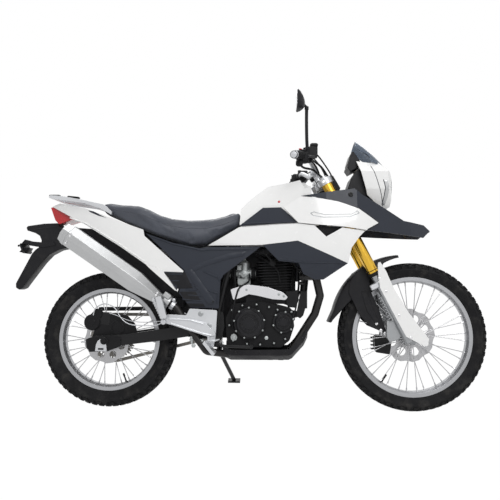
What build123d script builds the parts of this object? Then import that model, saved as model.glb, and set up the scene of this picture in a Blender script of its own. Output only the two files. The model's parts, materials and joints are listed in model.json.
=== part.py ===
from build123d import *
from math import acos, atan2, cos, degrees, hypot, pi, radians, sin, sqrt, tan
import os

# Dual sport motorcycle, parked on its side stand.
# Every piece is drawn upright in millimetres: X forward from the middle of the
# wheelbase, Y to the left, Z up from the ground. The last section leans the whole
# machine onto its stand and writes one STEP file for each named piece.

# ---- Driving dimensions ----------------------------------------------------------
wheelbase = 1435.0
lean = 13.0                  # degrees to the left, onto the side stand
rake = 27.5                  # degrees from upright
front_tyre_radius = 348.0    # 90/90-21, out to the tips of the tread
front_tyre_width = 92.0
front_rim_radius = 280.5
front_rim_width = 58.0
rear_tyre_radius = 321.0     # 100/90-18, out to the tips of the tread
rear_tyre_width = 106.0
rear_rim_radius = 242.5
rear_rim_width = 64.0
rim_wall = 3.5
rim_depth = 25.0             # from the flange's edge to the bottom of the well
fit_gap = 0.3                # between pieces that seat on each other
running_gap = 0.05           # between a shaft and its bore
skin = 4.0                   # wall of a moulded panel

front_axle_radius = 8.0
rear_axle_radius = 9.0

# ---- Helpers ----------------------------------------------------------------------


def outline(rows, y):
    """A face in side view at y, from rows of (x, z) or (x, z, corner radius)."""
    points = [Vector(row[0], y, row[1]) for row in rows]
    radii = [row[2] if len(row) > 2 else 0 for row in rows]
    if any(radii):
        return Face(FilletPolyline(*points, radius=radii, close=True))
    return Face(Wire.make_polygon(points))


def slab(rows, y_low, y_high):
    """A side-view outline made solid between two distances across the bike."""
    return extrude(outline(rows, y_low), amount=y_high - y_low, dir=(0, 1, 0))


def plan_slab(rows, z_low, z_high):
    """A plan-view outline of (x, y) rows, made solid between two heights."""
    face = Face(Wire.make_polygon([Vector(x, y, z_low) for x, y in rows]))
    return extrude(face, amount=z_high - z_low, dir=(0, 0, 1))


def front_slab(rows, x_low, x_high):
    """A front-view outline of (y, z) rows, made solid between two stations."""
    face = Face(Wire.make_polygon([Vector(x_low, y, z) for y, z in rows]))
    return extrude(face, amount=x_high - x_low, dir=(1, 0, 0))


def rod(start, end, radius):
    """A round bar between two points."""
    start, end = Vector(*start), Vector(*end)
    return Solid.make_cylinder(radius, (end - start).length, Plane(origin=start, z_dir=end - start))


def bar_y(x, z, y_low, y_high, radius):
    """A round bar across the bike."""
    return rod((x, y_low, z), (x, y_high, z), radius)


def pipe(points, radius, bend):
    """A round tube along straight runs joined by arcs of one bend radius."""
    path = FilletPolyline(*[Vector(*point) for point in points], radius=bend)
    return sweep(Plane(origin=path @ 0, z_dir=path % 0) * Circle(radius), path=path)


def spun(rows, centre):
    """A turned piece about an axle, from a closed outline of (y, radius) rows."""
    points = [Vector(centre.X + radius, y, centre.Z) for y, radius in rows]
    axle = Axis((centre.X, 0, centre.Z), (0, 1, 0))
    return revolve(Face(Wire.make_polygon(points)), axle, 360)


def ball(centre, radius):
    """A round ball."""
    return Solid.make_sphere(radius, Plane(origin=Vector(*centre)), -90, 90, 360)


def both_sides(shape):
    """The right-hand piece and its mirror image on the left."""
    return [shape, mirror(shape, about=Plane.XZ)]


def fused(*shapes):
    """One solid from shapes that overlap."""
    return shapes[0].fuse(*shapes[1:])


# ---- Steering frame -----------------------------------------------------------------
# The steering axis runs parallel to the fork legs, a clamp's offset behind them.
fork_spread = 98.0           # from the middle of the bike to a leg's centre line
fork_offset = 30.0           # from the steering axis forward to the legs
fork_top = (320.0, 1042.0)   # a point of the legs' centre line in side view
steer_up = Vector(-sin(radians(rake)), 0, cos(radians(rake)))
steer_forward = Vector(cos(radians(rake)), 0, sin(radians(rake)))


def on_fork(height, ahead=0.0, across=0.0):
    """A point of the fork: its height, and how far ahead of the legs and across it is."""
    up = (height - fork_top[1]) / steer_up.Z
    base = Vector(fork_top[0], across, fork_top[1])
    return base + steer_up * up + steer_forward * ahead


def on_axis(height, ahead=0.0, across=0.0):
    """A point near the steering axis, named the same way."""
    return on_fork(height, ahead - fork_offset, across)


# ---- Wheels ---------------------------------------------------------------------------


def tyre_outline(radius, width, rim_radius, rim_width):
    """The right half of a tyre's section as (y, radius) rows, from the well to the crown."""
    half = width / 2
    seat_half = rim_width / 2 - rim_wall - fit_gap
    seat = rim_radius - 14 + fit_gap
    well = rim_radius - rim_depth + rim_wall + fit_gap
    side = radius - rim_radius
    return [
        (0, well),
        (12, well),
        (seat_half, seat),
        (seat_half, rim_radius + 1.0),
        (rim_width / 2 + 2, rim_radius + 3.0),
        (half - 2, rim_radius + 0.40 * side),
        (half, rim_radius + 0.60 * side),
        (half - 5, rim_radius + 0.80 * side),
        (half * 0.66, rim_radius + 0.93 * side),
        (half * 0.30, radius - 1.2),
        (0, radius),
    ]


def standing_height(rows):
    """The axle's height at which a leaned tyre of this section just meets the ground."""
    slope = radians(lean)
    return max(y * sin(slope) + radius * cos(slope) for y, radius in rows) / cos(slope)


def make_tyre(centre, rows):
    """A tyre whose beads stand on the rim and whose crown is rounded."""
    return spun(rows + [(-y, radius) for y, radius in reversed(rows[1:-1])], centre)


front_tyre_rows = tyre_outline(front_tyre_radius, front_tyre_width, front_rim_radius, front_rim_width)
rear_tyre_rows = tyre_outline(rear_tyre_radius, rear_tyre_width, rear_rim_radius, rear_rim_width)
front_axle = Vector(wheelbase / 2, 0, standing_height(front_tyre_rows))
rear_axle = Vector(-wheelbase / 2, 0, standing_height(rear_tyre_rows))


def make_rim(centre, rim_radius, rim_width):
    """A channel rim with two flanges and a dropped well."""
    half = rim_width / 2
    seat = rim_radius - 14
    well = rim_radius - rim_depth + rim_wall
    rows = [
        (-half, rim_radius),
        (-half + rim_wall, rim_radius),
        (-half + rim_wall, seat),
        (-12, well),
        (12, well),
        (half - rim_wall, seat),
        (half - rim_wall, rim_radius),
        (half, rim_radius),
        (half, seat - rim_wall),
        (13, well - rim_wall),
        (-13, well - rim_wall),
        (-half, seat - rim_wall),
    ]
    return spun(rows, centre)


def make_spokes(centre, hub_radius, hub_half, rim_inner, rim_half, pairs):
    """Crossed wire spokes from the hub's two flanges to the rim's well."""
    spoke_radius = 1.9
    lace = 2.4               # crossed spokes pass this far to either side of their plane
    sweep_angle = 42.0
    spokes = []
    for side in (-1, 1):
        for index in range(pairs):
            for lead in (-1, 1):
                root = 360 / pairs * (index + 0.25 * (side + 1)) + 3.0 * lead
                tip = root + lead * sweep_angle / 2
                near = hub_radius + fit_gap + 1.0
                far = rim_inner - fit_gap - 0.8
                start = centre + Vector(near * cos(radians(root)), side * (hub_half + lace * lead),
                                        near * sin(radians(root)))
                end = centre + Vector(far * cos(radians(tip)), side * (rim_half + lace * lead),
                                      far * sin(radians(tip)))
                spokes.append(rod(start, end, spoke_radius))
    return spokes


def make_disc(centre, y_low, y_high, radius, waves, depth, eye):
    """A wave brake disc with a drilled band and a round eye at its carrier."""
    points = []
    for step in range(waves):
        turn = 2 * pi * step / waves
        for share, reach in ((0.0, radius), (0.35, radius), (0.6, radius - depth), (0.75, radius - depth)):
            angle = turn + share * 2 * pi / waves
            points.append((centre.X + reach * cos(angle), centre.Z + reach * sin(angle)))
    disc = slab(points, y_low, y_high) - bar_y(centre.X, centre.Z, y_low - 1, y_high + 1, eye)
    middle = (radius + eye) / 2
    for step in range(8):
        angle = 2 * pi * (step + 0.5) / 8
        hole = bar_y(centre.X + middle * cos(angle), centre.Z + middle * sin(angle),
                     y_low - 1, y_high + 1, (radius - eye) * 0.22)
        disc -= hole
    return disc


front_disc_radius = 130.0
rear_disc_radius = 110.0
front_disc_y = (60.0, 64.0)
rear_disc_y = (-66.0, -62.0)
front_rim_inner = front_rim_radius - rim_depth
rear_rim_inner = rear_rim_radius - rim_depth

front_tyre = make_tyre(front_axle, front_tyre_rows)
front_rim = make_rim(front_axle, front_rim_radius, front_rim_width)
front_hub_half = 34.0
front_hub_radius = 34.0
front_hub = spun([
    (-48, front_axle_radius + running_gap), (-48, 17), (-front_hub_half, 17),
    (-front_hub_half, front_hub_radius), (-28, front_hub_radius), (-24, 23), (24, 23),
    (28, front_hub_radius), (front_hub_half, front_hub_radius), (front_hub_half, 27), (50, 27),
    (50, 48), (front_disc_y[0] - fit_gap, 48), (front_disc_y[0] - fit_gap, 36),
    (66, 36), (66, front_axle_radius + running_gap)], front_axle)
front_spokes = make_spokes(front_axle, front_hub_radius, front_hub_half - 3, front_rim_inner, 8, 9)
front_disc = make_disc(front_axle, *front_disc_y, front_disc_radius, 9, 7, 36 + fit_gap)

rear_tyre = make_tyre(rear_axle, rear_tyre_rows)
rear_rim = make_rim(rear_axle, rear_rim_radius, rear_rim_width)
rear_hub_half = 38.0
rear_hub_radius = 42.0
chain_line = 70.0
rear_hub = spun([
    (-76, rear_axle_radius + running_gap), (-76, 20), (rear_disc_y[0], 20),
    (rear_disc_y[0], 36), (rear_disc_y[1] + fit_gap, 36), (rear_disc_y[1] + fit_gap, 50), (-52, 50),
    (-52, 30), (-rear_hub_half, 30),
    (-rear_hub_half, rear_hub_radius), (-32, rear_hub_radius), (-28, 30), (28, 30),
    (32, rear_hub_radius), (rear_hub_half, rear_hub_radius), (rear_hub_half, 34), (54, 34),
    (54, 56), (chain_line - 4 - fit_gap, 56), (chain_line - 4 - fit_gap, 40), (76, 40),
    (76, rear_axle_radius + running_gap)], rear_axle)
rear_spokes = make_spokes(rear_axle, rear_hub_radius, rear_hub_half - 3, rear_rim_inner, 8, 9)
rear_disc = make_disc(rear_axle, *rear_disc_y, rear_disc_radius, 8, 6, 36 + fit_gap)

# ---- Drive: sprockets and chain -----------------------------------------------------------
chain_pitch = 15.875
rear_teeth = 45
front_teeth = 15
rear_pitch_radius = chain_pitch / (2 * sin(pi / rear_teeth))
front_pitch_radius = chain_pitch / (2 * sin(pi / front_teeth))
drive_centre = Vector(-110, 0, 400)
chain_half_height = 7.5
chain_width = 14.0


def make_sprocket(centre, y_low, y_high, pitch_radius, teeth, eye, tooth=5.0):
    """A toothed wheel: a tooth and a root for each pitch."""
    points = []
    for step in range(teeth):
        for share, reach in ((-0.12, tooth), (0.12, tooth), (0.30, -tooth), (0.70, -tooth)):
            angle = 2 * pi * (step + share) / teeth
            points.append((centre.X + (pitch_radius + reach) * cos(angle),
                           centre.Z + (pitch_radius + reach) * sin(angle)))
    wheel = slab(points, y_low, y_high)
    return wheel - bar_y(centre.X, centre.Z, y_low - 1, y_high + 1, eye)


rear_sprocket = make_sprocket(rear_axle, chain_line - 4, chain_line + 4,
                              rear_pitch_radius - 14, rear_teeth, 40 + fit_gap)


def chain_loop(offset):
    """The chain's outline round both sprockets, a distance outside the pitch line."""
    span = drive_centre - rear_axle
    distance = hypot(span.X, span.Z)
    slope = atan2(span.Z, span.X)
    spread = acos((rear_pitch_radius - front_pitch_radius) / distance)
    faces = []
    big, small = rear_pitch_radius + offset, front_pitch_radius + offset
    corners = []
    for centre, reach, turn in ((rear_axle, big, spread), (drive_centre, small, spread),
                                (drive_centre, small, -spread), (rear_axle, big, -spread)):
        corners.append(Vector(centre.X + reach * cos(slope + turn), 0,
                              centre.Z + reach * sin(slope + turn)))
    nose = drive_centre + Vector(small * cos(slope), 0, small * sin(slope))
    tail = rear_axle - Vector(big * cos(slope), 0, big * sin(slope))
    edges = [Line(corners[0], corners[1]), ThreePointArc(corners[1], nose, corners[2]),
             Line(corners[2], corners[3]), ThreePointArc(corners[3], tail, corners[0])]
    return Face(Wire(edges))


def band(offset, y_low, y_high):
    """The chain loop's outline as a solid across the bike."""
    face = chain_loop(offset).moved(Location((0, y_low, 0)))
    return extrude(face, amount=y_high - y_low, dir=(0, 1, 0))


chain = (band(chain_half_height, chain_line - chain_width / 2, chain_line + chain_width / 2)
         - band(-chain_half_height, chain_line - chain_width, chain_line + chain_width))

# ---- Steering body ----------------------------------------------------------------------
outer_tube_radius = 25.0
inner_tube_radius = 20.5
leg_top_height = 1082.0
outer_low_height = 640.0
clamp_upper_height = 1072.0
clamp_lower_height = 888.0
axle_lug_height = 392.0
stem_radius = 14.0

fork_outer = [rod(on_fork(outer_low_height, 0, y), on_fork(leg_top_height, 0, y), outer_tube_radius)
              for y in (-fork_spread, fork_spread)]

fork_lower_parts = []
for side in (-1, 1):
    y = side * fork_spread
    leg = rod(on_fork(372, 0, y), on_fork(outer_low_height - fit_gap, 0, y), inner_tube_radius)
    lug = fused(
        rod(on_fork(335, 3, y), on_fork(420, 3, y), inner_tube_radius + 5),
        bar_y(front_axle.X, front_axle.Z, y - 19, y + 19, 21))
    fork_lower_parts += [leg, lug]
axle_front = bar_y(front_axle.X, front_axle.Z, -fork_spread - 26, fork_spread + 22,
                   front_axle_radius)
fork_lower = fused(*fork_lower_parts, axle_front)


def clamp_plate(height, thick, reach_back):
    """A yoke: three rounded bosses in a row joined by a flat web, bored for the legs."""
    low, high = height - thick / 2, height + thick / 2
    boss = [rod(on_fork(low, 0, side * fork_spread), on_fork(high, 0, side * fork_spread),
                outer_tube_radius + 9) for side in (-1, 1)]
    centre = rod(on_axis(low), on_axis(high), 30)
    depth = 22
    mid = on_axis(height, fork_offset / 2)
    web = Plane(origin=mid, x_dir=steer_forward, z_dir=steer_up) * Box(
        depth * 2, 2 * fork_spread, thick * 0.8 / cos(radians(rake)))
    plate = fused(web, centre, *boss)
    for side in (-1, 1):
        plate -= rod(on_fork(low - 60, 0, side * fork_spread), on_fork(high + 60, 0, side * fork_spread),
                     outer_tube_radius + fit_gap)
    return plate


stem = rod(on_axis(clamp_lower_height), on_axis(clamp_upper_height + 22), stem_radius)
bar_centre = on_axis(1132, 12)
risers = [rod(on_axis(clamp_upper_height, 12, y), Vector(bar_centre.X, y, bar_centre.Z), 13)
          for y in (-45, 45)]
bar_clamps = [bar_y(bar_centre.X, bar_centre.Z, y - 16, y + 16, 20) for y in (-45, 45)]
triple_clamps = fused(clamp_plate(clamp_upper_height, 26, 0), clamp_plate(clamp_lower_height, 34, 0),
                      stem, *risers, *bar_clamps)
bar_radius = 11.1
triple_clamps -= bar_y(bar_centre.X, bar_centre.Z, -120, 120, bar_radius + fit_gap)

bar_half = 390.0
grip_length = 112.0
bar_points = [
    (150, -bar_half, 1132),
    (212, -210, 1172),
    (bar_centre.X, -95, bar_centre.Z),
    (bar_centre.X, 95, bar_centre.Z),
    (212, 210, 1172),
    (150, bar_half, 1132),
]
handlebar = pipe(bar_points, bar_radius, 42)

grip_way = (Vector(*bar_points[0]) - Vector(*bar_points[1])).normalized()
bar_tip = Vector(*bar_points[0])


def along_grip(distance, side=-1):
    """A point of the bar, a distance in from its end, on one side."""
    point = bar_tip - grip_way * distance
    return Vector(point.X, point.Y * -side, point.Z)


grip_radius = 17.0
perch_place = grip_length + 47      # along the bar, from its end to the lever's perch
mirror_boss = 32.0                  # from the bar's centre to the top of the mirror's boss
mirror_hole_radius = 5.0
mirror_hole_depth = 13.0
grips = []
controls = []
bar_ends = []
for side in (-1, 1):
    grip = rod(along_grip(4, side), along_grip(grip_length, side), grip_radius)
    grip -= rod(along_grip(-20, side), along_grip(grip_length + 20, side), bar_radius + fit_gap)
    flange = rod(along_grip(grip_length - 5, side), along_grip(grip_length, side), 24)
    flange -= rod(along_grip(-20, side), along_grip(grip_length + 20, side), bar_radius + fit_gap)
    grips.append(fused(grip, flange))
    cap = rod(along_grip(-22, side), along_grip(-fit_gap, side), 16)
    bar_ends.append(cap)
    housing = rod(along_grip(grip_length + 1, side), along_grip(grip_length + 34, side), 21)
    perch = rod(along_grip(grip_length + 37, side), along_grip(grip_length + 57, side), 18)
    perch_middle = along_grip(perch_place, side)
    pivot = perch_middle + Vector(38, 0, -6)
    arm = rod(perch_middle, pivot, 10)
    lever = pipe([pivot, along_grip(grip_length + 10, side) + Vector(52, 0, -8),
                  along_grip(10, side) + Vector(50, 0, -6)], 6, 40)
    joiner = rod(along_grip(grip_length + 32, side), along_grip(grip_length + 42, side), 15)
    boss = rod(perch_middle, perch_middle + Vector(0, 0, mirror_boss), 9)
    piece = fused(housing, joiner, perch, arm, ball(pivot, 12), lever, boss)
    piece -= rod(along_grip(grip_length - 20, side), along_grip(grip_length + 61, side),
                 bar_radius + fit_gap)
    piece -= rod(perch_middle + Vector(0, 0, mirror_boss - mirror_hole_depth),
                 perch_middle + Vector(0, 0, mirror_boss + 5), mirror_hole_radius)
    controls.append(piece)

# Mirror on the right perch: a stem, a ball joint and a tall head.
mirror_foot = along_grip(perch_place, -1) + Vector(0, 0, mirror_boss + fit_gap)
mirror_knee = Vector(207, -300, 1222)
mirror_neck = Vector(196, -332, 1350)
mirror_head = slab([(172, 1322, 6), (192, 1332, 8), (204, 1360, 10), (200, 1410, 12), (184, 1448, 10),
                    (166, 1440, 8), (160, 1400, 10), (160, 1340, 8)], -398, -278)

# ---- Frame body: tubes ---------------------------------------------------------------------
head_tube_radius = 29.0
head_low, head_high = clamp_lower_height + 24, clamp_upper_height - 20
head_tube = rod(on_axis(head_low), on_axis(head_high), head_tube_radius)
head_bore = rod(on_axis(head_low - 60), on_axis(head_high + 60), stem_radius + running_gap)
tube = 15.0
pivot_point = Vector(-200, 0, 398)
rail_half = 92.0
rail_rear = 72.0
backbone_rear = (-110, 0, 800)
plate_half = 8.0
mount_half = 30.0            # half the width of the engine's front boss
engine_mount = (190, 452)
main_frame = fused(
    head_tube,
    pipe([on_axis(985), (240, 0, 900), backbone_rear, (-180, 0, 700)], 24, 90),
    pipe([on_axis(958), (228, 0, 740), (209, 0, 560), (209, 0, 478)], tube + 3, 120),
    *[slab([(222, 560), (196, 560), (180, 470), (172, 446, 8), (190, 430, 8), (206, 446), (222, 500)],
           *sorted((s * (mount_half + fit_gap), s * (mount_half + 6)))) for s in (-1, 1)],
    slab([(222, 560), (197, 560), (192, 500), (222, 500)], -mount_half - 5, mount_half + 5),
    bar_y(-110, 790, -rail_half, rail_half, tube),
    bar_y(-197, 312, -rail_half, rail_half, 11),
    *[pipe([(-110, s * rail_half, 790), (-150, s * rail_half, 640),
            (pivot_point.X + 10, s * rail_half, 470), (pivot_point.X, s * rail_half, 300)],
           tube - 2, 60) for s in (-1, 1)],
    *[slab([(-222, 462, 12), (-168, 462, 12), (-162, 398, 12), (-176, 330, 12), (-218, 330, 12),
            (-226, 398, 12)], s * rail_half - plate_half, s * rail_half + plate_half)
      for s in (-1, 1)])
main_frame -= head_bore

subframe_parts = []
for s in (-1, 1):
    subframe_parts.append(pipe([(-130.3, s * rail_half, 784.7), (-330, s * rail_half, 742),
                                (-560, s * rail_rear, 800), (-880, s * rail_rear, 909.5)], 11, 60))
    subframe_parts.append(pipe([(-207, s * rail_half, 484), (-300, s * rail_half, 600),
                                (-560, s * (rail_rear + 2), 792)], 10, 60))
for x, z in ((-560, 800), (-760, 868.4), (-868, 905.4)):
    subframe_parts.append(bar_y(x, z, -rail_rear - 2, rail_rear + 2, 10))
subframe = fused(*subframe_parts)

# ---- Frame body: swingarm, shock and rear axle --------------------------------------------
arm_inner, arm_outer = 88.0, 112.0
arm_rows = [(-176, 422, 14), (-300, 416), (-369, 393), (-622, 354), (-760, 346, 12), (-806, 330, 10),
            (-800, 282, 12), (-740, 286), (-649, 302), (-485, 323), (-294, 353), (-176, 374, 14)]
arm_plan = [(-170, 53), (-215, 53), (-330, arm_inner), (-812, arm_inner), (-812, arm_outer),
            (-325, arm_outer), (-215, 77), (-170, 77)]
arm_left = slab(arm_rows, 40, 120) & plan_slab(arm_plan, 250, 450)
clevis_gap = 12.0            # half the width of the shock's eyes
shock_top = (-200, 664)
shock_foot = (-322, 432)
swingarm = fused(
    *both_sides(arm_left),
    bar_y(pivot_point.X, pivot_point.Z, -77, 77, 24),
    bar_y(-330, 384, -arm_inner - 6, arm_inner + 6, 20),
    *both_sides(slab([(-350, 388), (-312, 388), (-304, 436, 12), (-338, 444, 12)],
                     clevis_gap + fit_gap, clevis_gap + 8)))
axle_rear = bar_y(rear_axle.X, rear_axle.Z, -arm_outer - 16, arm_outer + 16, rear_axle_radius)
axle_nut = [bar_y(rear_axle.X, rear_axle.Z, s * (arm_outer + 5) - 5, s * (arm_outer + 5) + 5, 17)
            for s in (-1, 1)]
swingarm = fused(swingarm, axle_rear, *axle_nut)
swingarm -= bar_y(pivot_point.X, pivot_point.Z, -90, 90, 9 + fit_gap)

main_frame = fused(main_frame, bar_y(pivot_point.X, pivot_point.Z, -100, 100, 9),
                   *both_sides(slab([(-150, 730), (-190, 712), (-216, 664), (-196, 646), (-160, 690)],
                                    clevis_gap + fit_gap, clevis_gap + 8)))


def make_shock():
    """A coil-over damper between its two eyes."""
    top, foot = Vector(shock_top[0], 0, shock_top[1]), Vector(shock_foot[0], 0, shock_foot[1])
    way = (foot - top).normalized()
    length = (foot - top).length
    spring_radius, wire, turns = 32.0, 10.0, 8
    first, last = 40.0, length - 34.0
    pitch = (last - first) / turns
    rows = [(first, 0), (first, spring_radius)]
    for turn in range(turns):
        start = first + pitch * turn
        rows += [(start + pitch - wire, spring_radius), (start + pitch - wire / 2, spring_radius - wire),
                 (start + pitch, spring_radius)]
    rows += [(last, 0)]
    side = Vector(way.Z, 0, -way.X)
    points = [top + way * along + side * reach for along, reach in rows]
    spring = revolve(Face(Wire.make_polygon(points)), Axis(tuple(top), tuple(way)), 360)
    return fused(
        spring, rod(top, foot, 11), rod(top + way * 26, top + way * 44, 20),
        bar_y(top.X, top.Z, -clevis_gap, clevis_gap, 15),
        bar_y(foot.X, foot.Z, -clevis_gap, clevis_gap, 15))


shock = make_shock()

# ---- Frame body: engine ---------------------------------------------------------------------
case_rows = [(-150, 310, 12), (-158, 430, 20), (-128, 500, 14), (10, 512), (150, 480, 16),
             (162, 400, 20), (140, 332, 20), (100, 300, 16), (-110, 300)]
case_half = 84.0
engine_case = fused(
    slab(case_rows, -case_half, 52),
    slab([(-52, 304, 14), (-52, 470, 20), (10, 505, 20), (140, 476, 16), (158, 400, 20),
          (136, 334, 20), (96, 304, 16)], 50, case_half),
    bar_y(drive_centre.X, drive_centre.Z, 40, chain_line - 4 - fit_gap, 26),
    bar_y(drive_centre.X, drive_centre.Z, 50, chain_line + 12, 10),
    make_sprocket(drive_centre, chain_line - 4, chain_line + 4, front_pitch_radius - 13,
                  front_teeth, 9, tooth=3.0),
    bar_y(*engine_mount, -mount_half, mount_half, 13),
    slab([(150, 470), (190, 462), (190, 440), (150, 430)], -mount_half, mount_half))

cover_table = [  # name, side, x, z, radius, depth
    ("clutch", -1, -47, 412, 62, 44),
    ("timing", -1, 111, 417, 40, 26),
    ("alternator", 1, 62, 398, 64, 40),
]
engine_covers = []
for cover_name, side, x, z, radius, depth in cover_table:
    face = case_half + fit_gap
    base = bar_y(x, z, side * face, side * (face + depth * 0.55), radius + 8)
    dome = bar_y(x, z, side * face, side * (face + depth), radius)
    dome = chamfer(dome.edges().filter_by(GeomType.CIRCLE).sort_by(Axis.Y)[0 if side < 0 else -1], 7)
    hub = bar_y(x, z, side * face, side * (face + depth + 4), radius * 0.42)
    engine_covers.append(fused(base, dome, hub))

cylinder_base = Vector(78, 0, 512 + fit_gap)
cylinder_tilt = 3.0


def make_cylinder():
    """The finned barrel and head: a core with plates at a steady pitch."""
    fin_pitch, fin_thick = 13.0, 4.5
    core = Box(112, 104, 200, align=(Align.CENTER, Align.CENTER, Align.MIN))
    solid = core
    for index in range(14):
        z = 14 + fin_pitch * index
        reach = 152 if index < 8 else 172
        wide = 138 if index < 8 else 150
        fin = Box(reach, wide, fin_thick, align=(Align.CENTER, Align.CENTER, Align.MIN))
        fin = fillet(fin.edges().filter_by(Axis.Z), 22)
        solid = solid + Pos(0, 0, z) * fin
    return Location(cylinder_base, (0, -cylinder_tilt, 0)) * solid


engine_cylinder = make_cylinder()

# ---- Frame body: exhaust, carburettor, side trim ----------------------------------------------
header_radius = 17.0
pipe_low = 265.0             # height of the pipe under the crankcase
header_runs = [
    pipe([(185, y, 628), (262, y, 634), (283, y, 540), (258, y, 455), (182, y, 336),
          (134, -52, pipe_low), (90, -52, pipe_low)], header_radius, 26) for y in (-38, -76)]
muffler_front = Vector(-418, -138, 506)
muffler_rear = Vector(-893, -178, 832)
muffler_way = (muffler_rear - muffler_front).normalized()
muffler_table = [  # distance along, centre height, half height, half width, flat top share
    (0, -6, 24, 24),
    (60, -4, 36, 34),
    (175, 4, 61, 44),
    (545, 4, 61, 46),
    (576, 4, 52, 40),
]


def muffler_section(distance, lift, half_high, half_wide):
    """Six-sided section square to the muffler's axis."""
    place = Plane(origin=muffler_front + muffler_way * distance, x_dir=(0, 1, 0), z_dir=muffler_way)
    corners = [(-half_wide, -0.35), (-half_wide * 0.55, -1.0), (half_wide * 0.6, -1.0),
               (half_wide, -0.3), (half_wide * 0.8, 1.0), (-half_wide * 0.35, 1.0), (-half_wide, 0.25)]
    up = place.y_dir
    sign = 1 if up.Z > 0 else -1
    points = [place.origin + place.x_dir * y + up * (sign * (lift + share * half_high))
              for y, share in corners]
    return Face(Wire.make_polygon(points))


muffler = Solid.make_loft([muffler_section(*row).outer_wire() for row in muffler_table], True)
outlet = muffler_front + muffler_way * 540
muffler = fused(muffler, rod(outlet, outlet + muffler_way * 52, 20))
muffler -= rod(outlet + muffler_way * 30, outlet + muffler_way * 60, 17)
link_end = muffler_front - muffler_way * fit_gap
link = pipe([(105, -52, pipe_low), (-140, -76, pipe_low), (-240, -133, 284), (-330, -133, 404),
             tuple(link_end - muffler_way * 46), tuple(link_end)], header_radius, 24)
exhaust_pipe = fused(*header_runs, link)

carb_height = 640.0
carburettor = fused(
    rod((-150, 0, carb_height + 3), (-20, 0, carb_height), 26),
    rod((-76, 0, carb_height - 62), (-76, 0, carb_height + 50), 27),
    rod((-108, 0, carb_height + 2), (-94, 0, carb_height + 2), 36),
    slab([(-106, 588, 8), (-46, 588, 8), (-46, 618), (-106, 618)], -34, 34),
    bar_y(-76, carb_height, -46, 40, 14))

trim_rows = [(-134, 566, 6), (-92, 580), (-50, 589), (40, 578), (109, 554), (131, 533, 6), (118, 520, 6),
             (61, 523), (-11, 539), (-49, 545), (-91, 527), (-121, 518, 6)]
engine_trim = fused(slab(trim_rows, -118, -108), *[
    bar_y(x, z, -112, -75 - fit_gap - 0.5, 8) for x, z in ((30, 556), (100, 540))])

# ---- Frame body: bodywork ----------------------------------------------------------------------
# The panels are cut from two smooth bodies, so neighbours share one flowing surface.
front_low, front_mid, front_high = 540.0, 860.0, 1090.0
front_stations = [  # x, half width low, middle, high
    (-260, 118, 118, 84),
    (-120, 128, 130, 92),
    (20, 150, 156, 110),
    (160, 166, 184, 138),
    (300, 162, 200, 150),
    (440, 140, 190, 140),
    (580, 96, 142, 104),
    (700, 52, 88, 66),
    (840, 16, 30, 20),
]
rear_low, rear_mid, rear_high = 470.0, 760.0, 1010.0
rear_stations = [
    (-1030, 62, 66, 54),
    (-820, 96, 104, 88),
    (-600, 122, 128, 112),
    (-380, 140, 146, 128),
    (-160, 142, 146, 128),
    (30, 140, 146, 128),
]


def flowing_body(stations, low, mid, high, grow):
    """A closed body whose sides are arcs through three widths at each station."""
    sections = []
    for x, wide_low, wide_mid, wide_high in stations:
        a, b, c = [max(wide + grow, 6.0) for wide in (wide_low, wide_mid, wide_high)]
        sections.append(Wire([
            ThreePointArc((x, -a, low), (x, -b, mid), (x, -c, high)),
            Line((x, -c, high), (x, c, high)),
            ThreePointArc((x, c, high), (x, b, mid), (x, a, low)),
            Line((x, a, low), (x, -a, low)),
        ]))
    return Solid.make_loft(sections, False)


front_bodies = {}
rear_bodies = {}


def front_body(grow):
    """The front body grown sideways, made once for each growth."""
    if grow not in front_bodies:
        front_bodies[grow] = flowing_body(front_stations, front_low, front_mid, front_high, grow)
    return front_bodies[grow]


def rear_body(grow):
    """The rear body grown sideways, made once for each growth."""
    if grow not in rear_bodies:
        rear_bodies[grow] = flowing_body(rear_stations, rear_low, rear_mid, rear_high, grow)
    return rear_bodies[grow]


def panel(rows, body, grow, wall=skin):
    """A moulded panel on the right: a skin of the flowing body inside a side outline."""
    window = slab(rows, -320, -6)
    return (window & body(grow)) - body(grow - wall)


def biggest(shape):
    """The largest solid of a shape."""
    return max(shape.solids(), key=lambda solid: solid.volume)


knee_rows = [(-98, 859), (13, 944), (96, 944), (172, 872), (60, 868)]
band_rows = [(-241, 768), (-96, 853), (172, 866), (245, 857), (298, 806), (370, 847), (473, 834),
             (447, 807), (412, 758), (396, 688), (172, 788), (7, 770)]
lower_rows = [(14, 770.2), (172, 787.5), (395.5, 687.6), (287, 614, 8), (248, 614), (197, 639), (176, 687), (87, 697)]
upper_rows = [(184, 990), (251, 985), (354, 965), (446, 934), (537, 872), (476, 838), (374, 851),
              (246, 861), (174, 869), (107, 941)]
beak_rows = [(186, 995), (430, 1030), (461, 1006), (666, 890), (773, 876), (806, 850), (767, 815),
             (483, 838), (543, 875), (448, 938), (251, 989)]
side_rows = [(-530, 823), (-411, 781), (-278, 753), (-246, 759), (5, 764), (-51, 719), (-165, 632),
             (-178, 609, 6), (-185, 478, 6), (-316, 483, 6), (-369, 548), (-343, 650)]
tail_rows = [(-1000, 955), (-962, 970), (-827, 943), (-723, 905), (-635, 872), (-542, 840), (-536, 811),
             (-349, 649), (-375, 552), (-445, 650), (-523, 676), (-654, 763), (-825, 865), (-886, 896)]

knee_covers = both_sides(biggest(panel(knee_rows, front_body, -10)))
lower_bands = both_sides(biggest(panel(band_rows, front_body, 0)))
lower_shrouds = both_sides(biggest(panel(lower_rows, front_body, 0)))
upper_shrouds = both_sides(biggest(panel(upper_rows, front_body, 6)))
beak_wall = 4.5
beak_slope = 0.16            # how far the beak's sides lean inwards for each mm of height
beak_level = 860.0           # height at which its plan is drawn
beak_plan = [(150, -180), (300, -200), (440, -190), (580, -142), (700, -87), (814, -15)]


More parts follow.
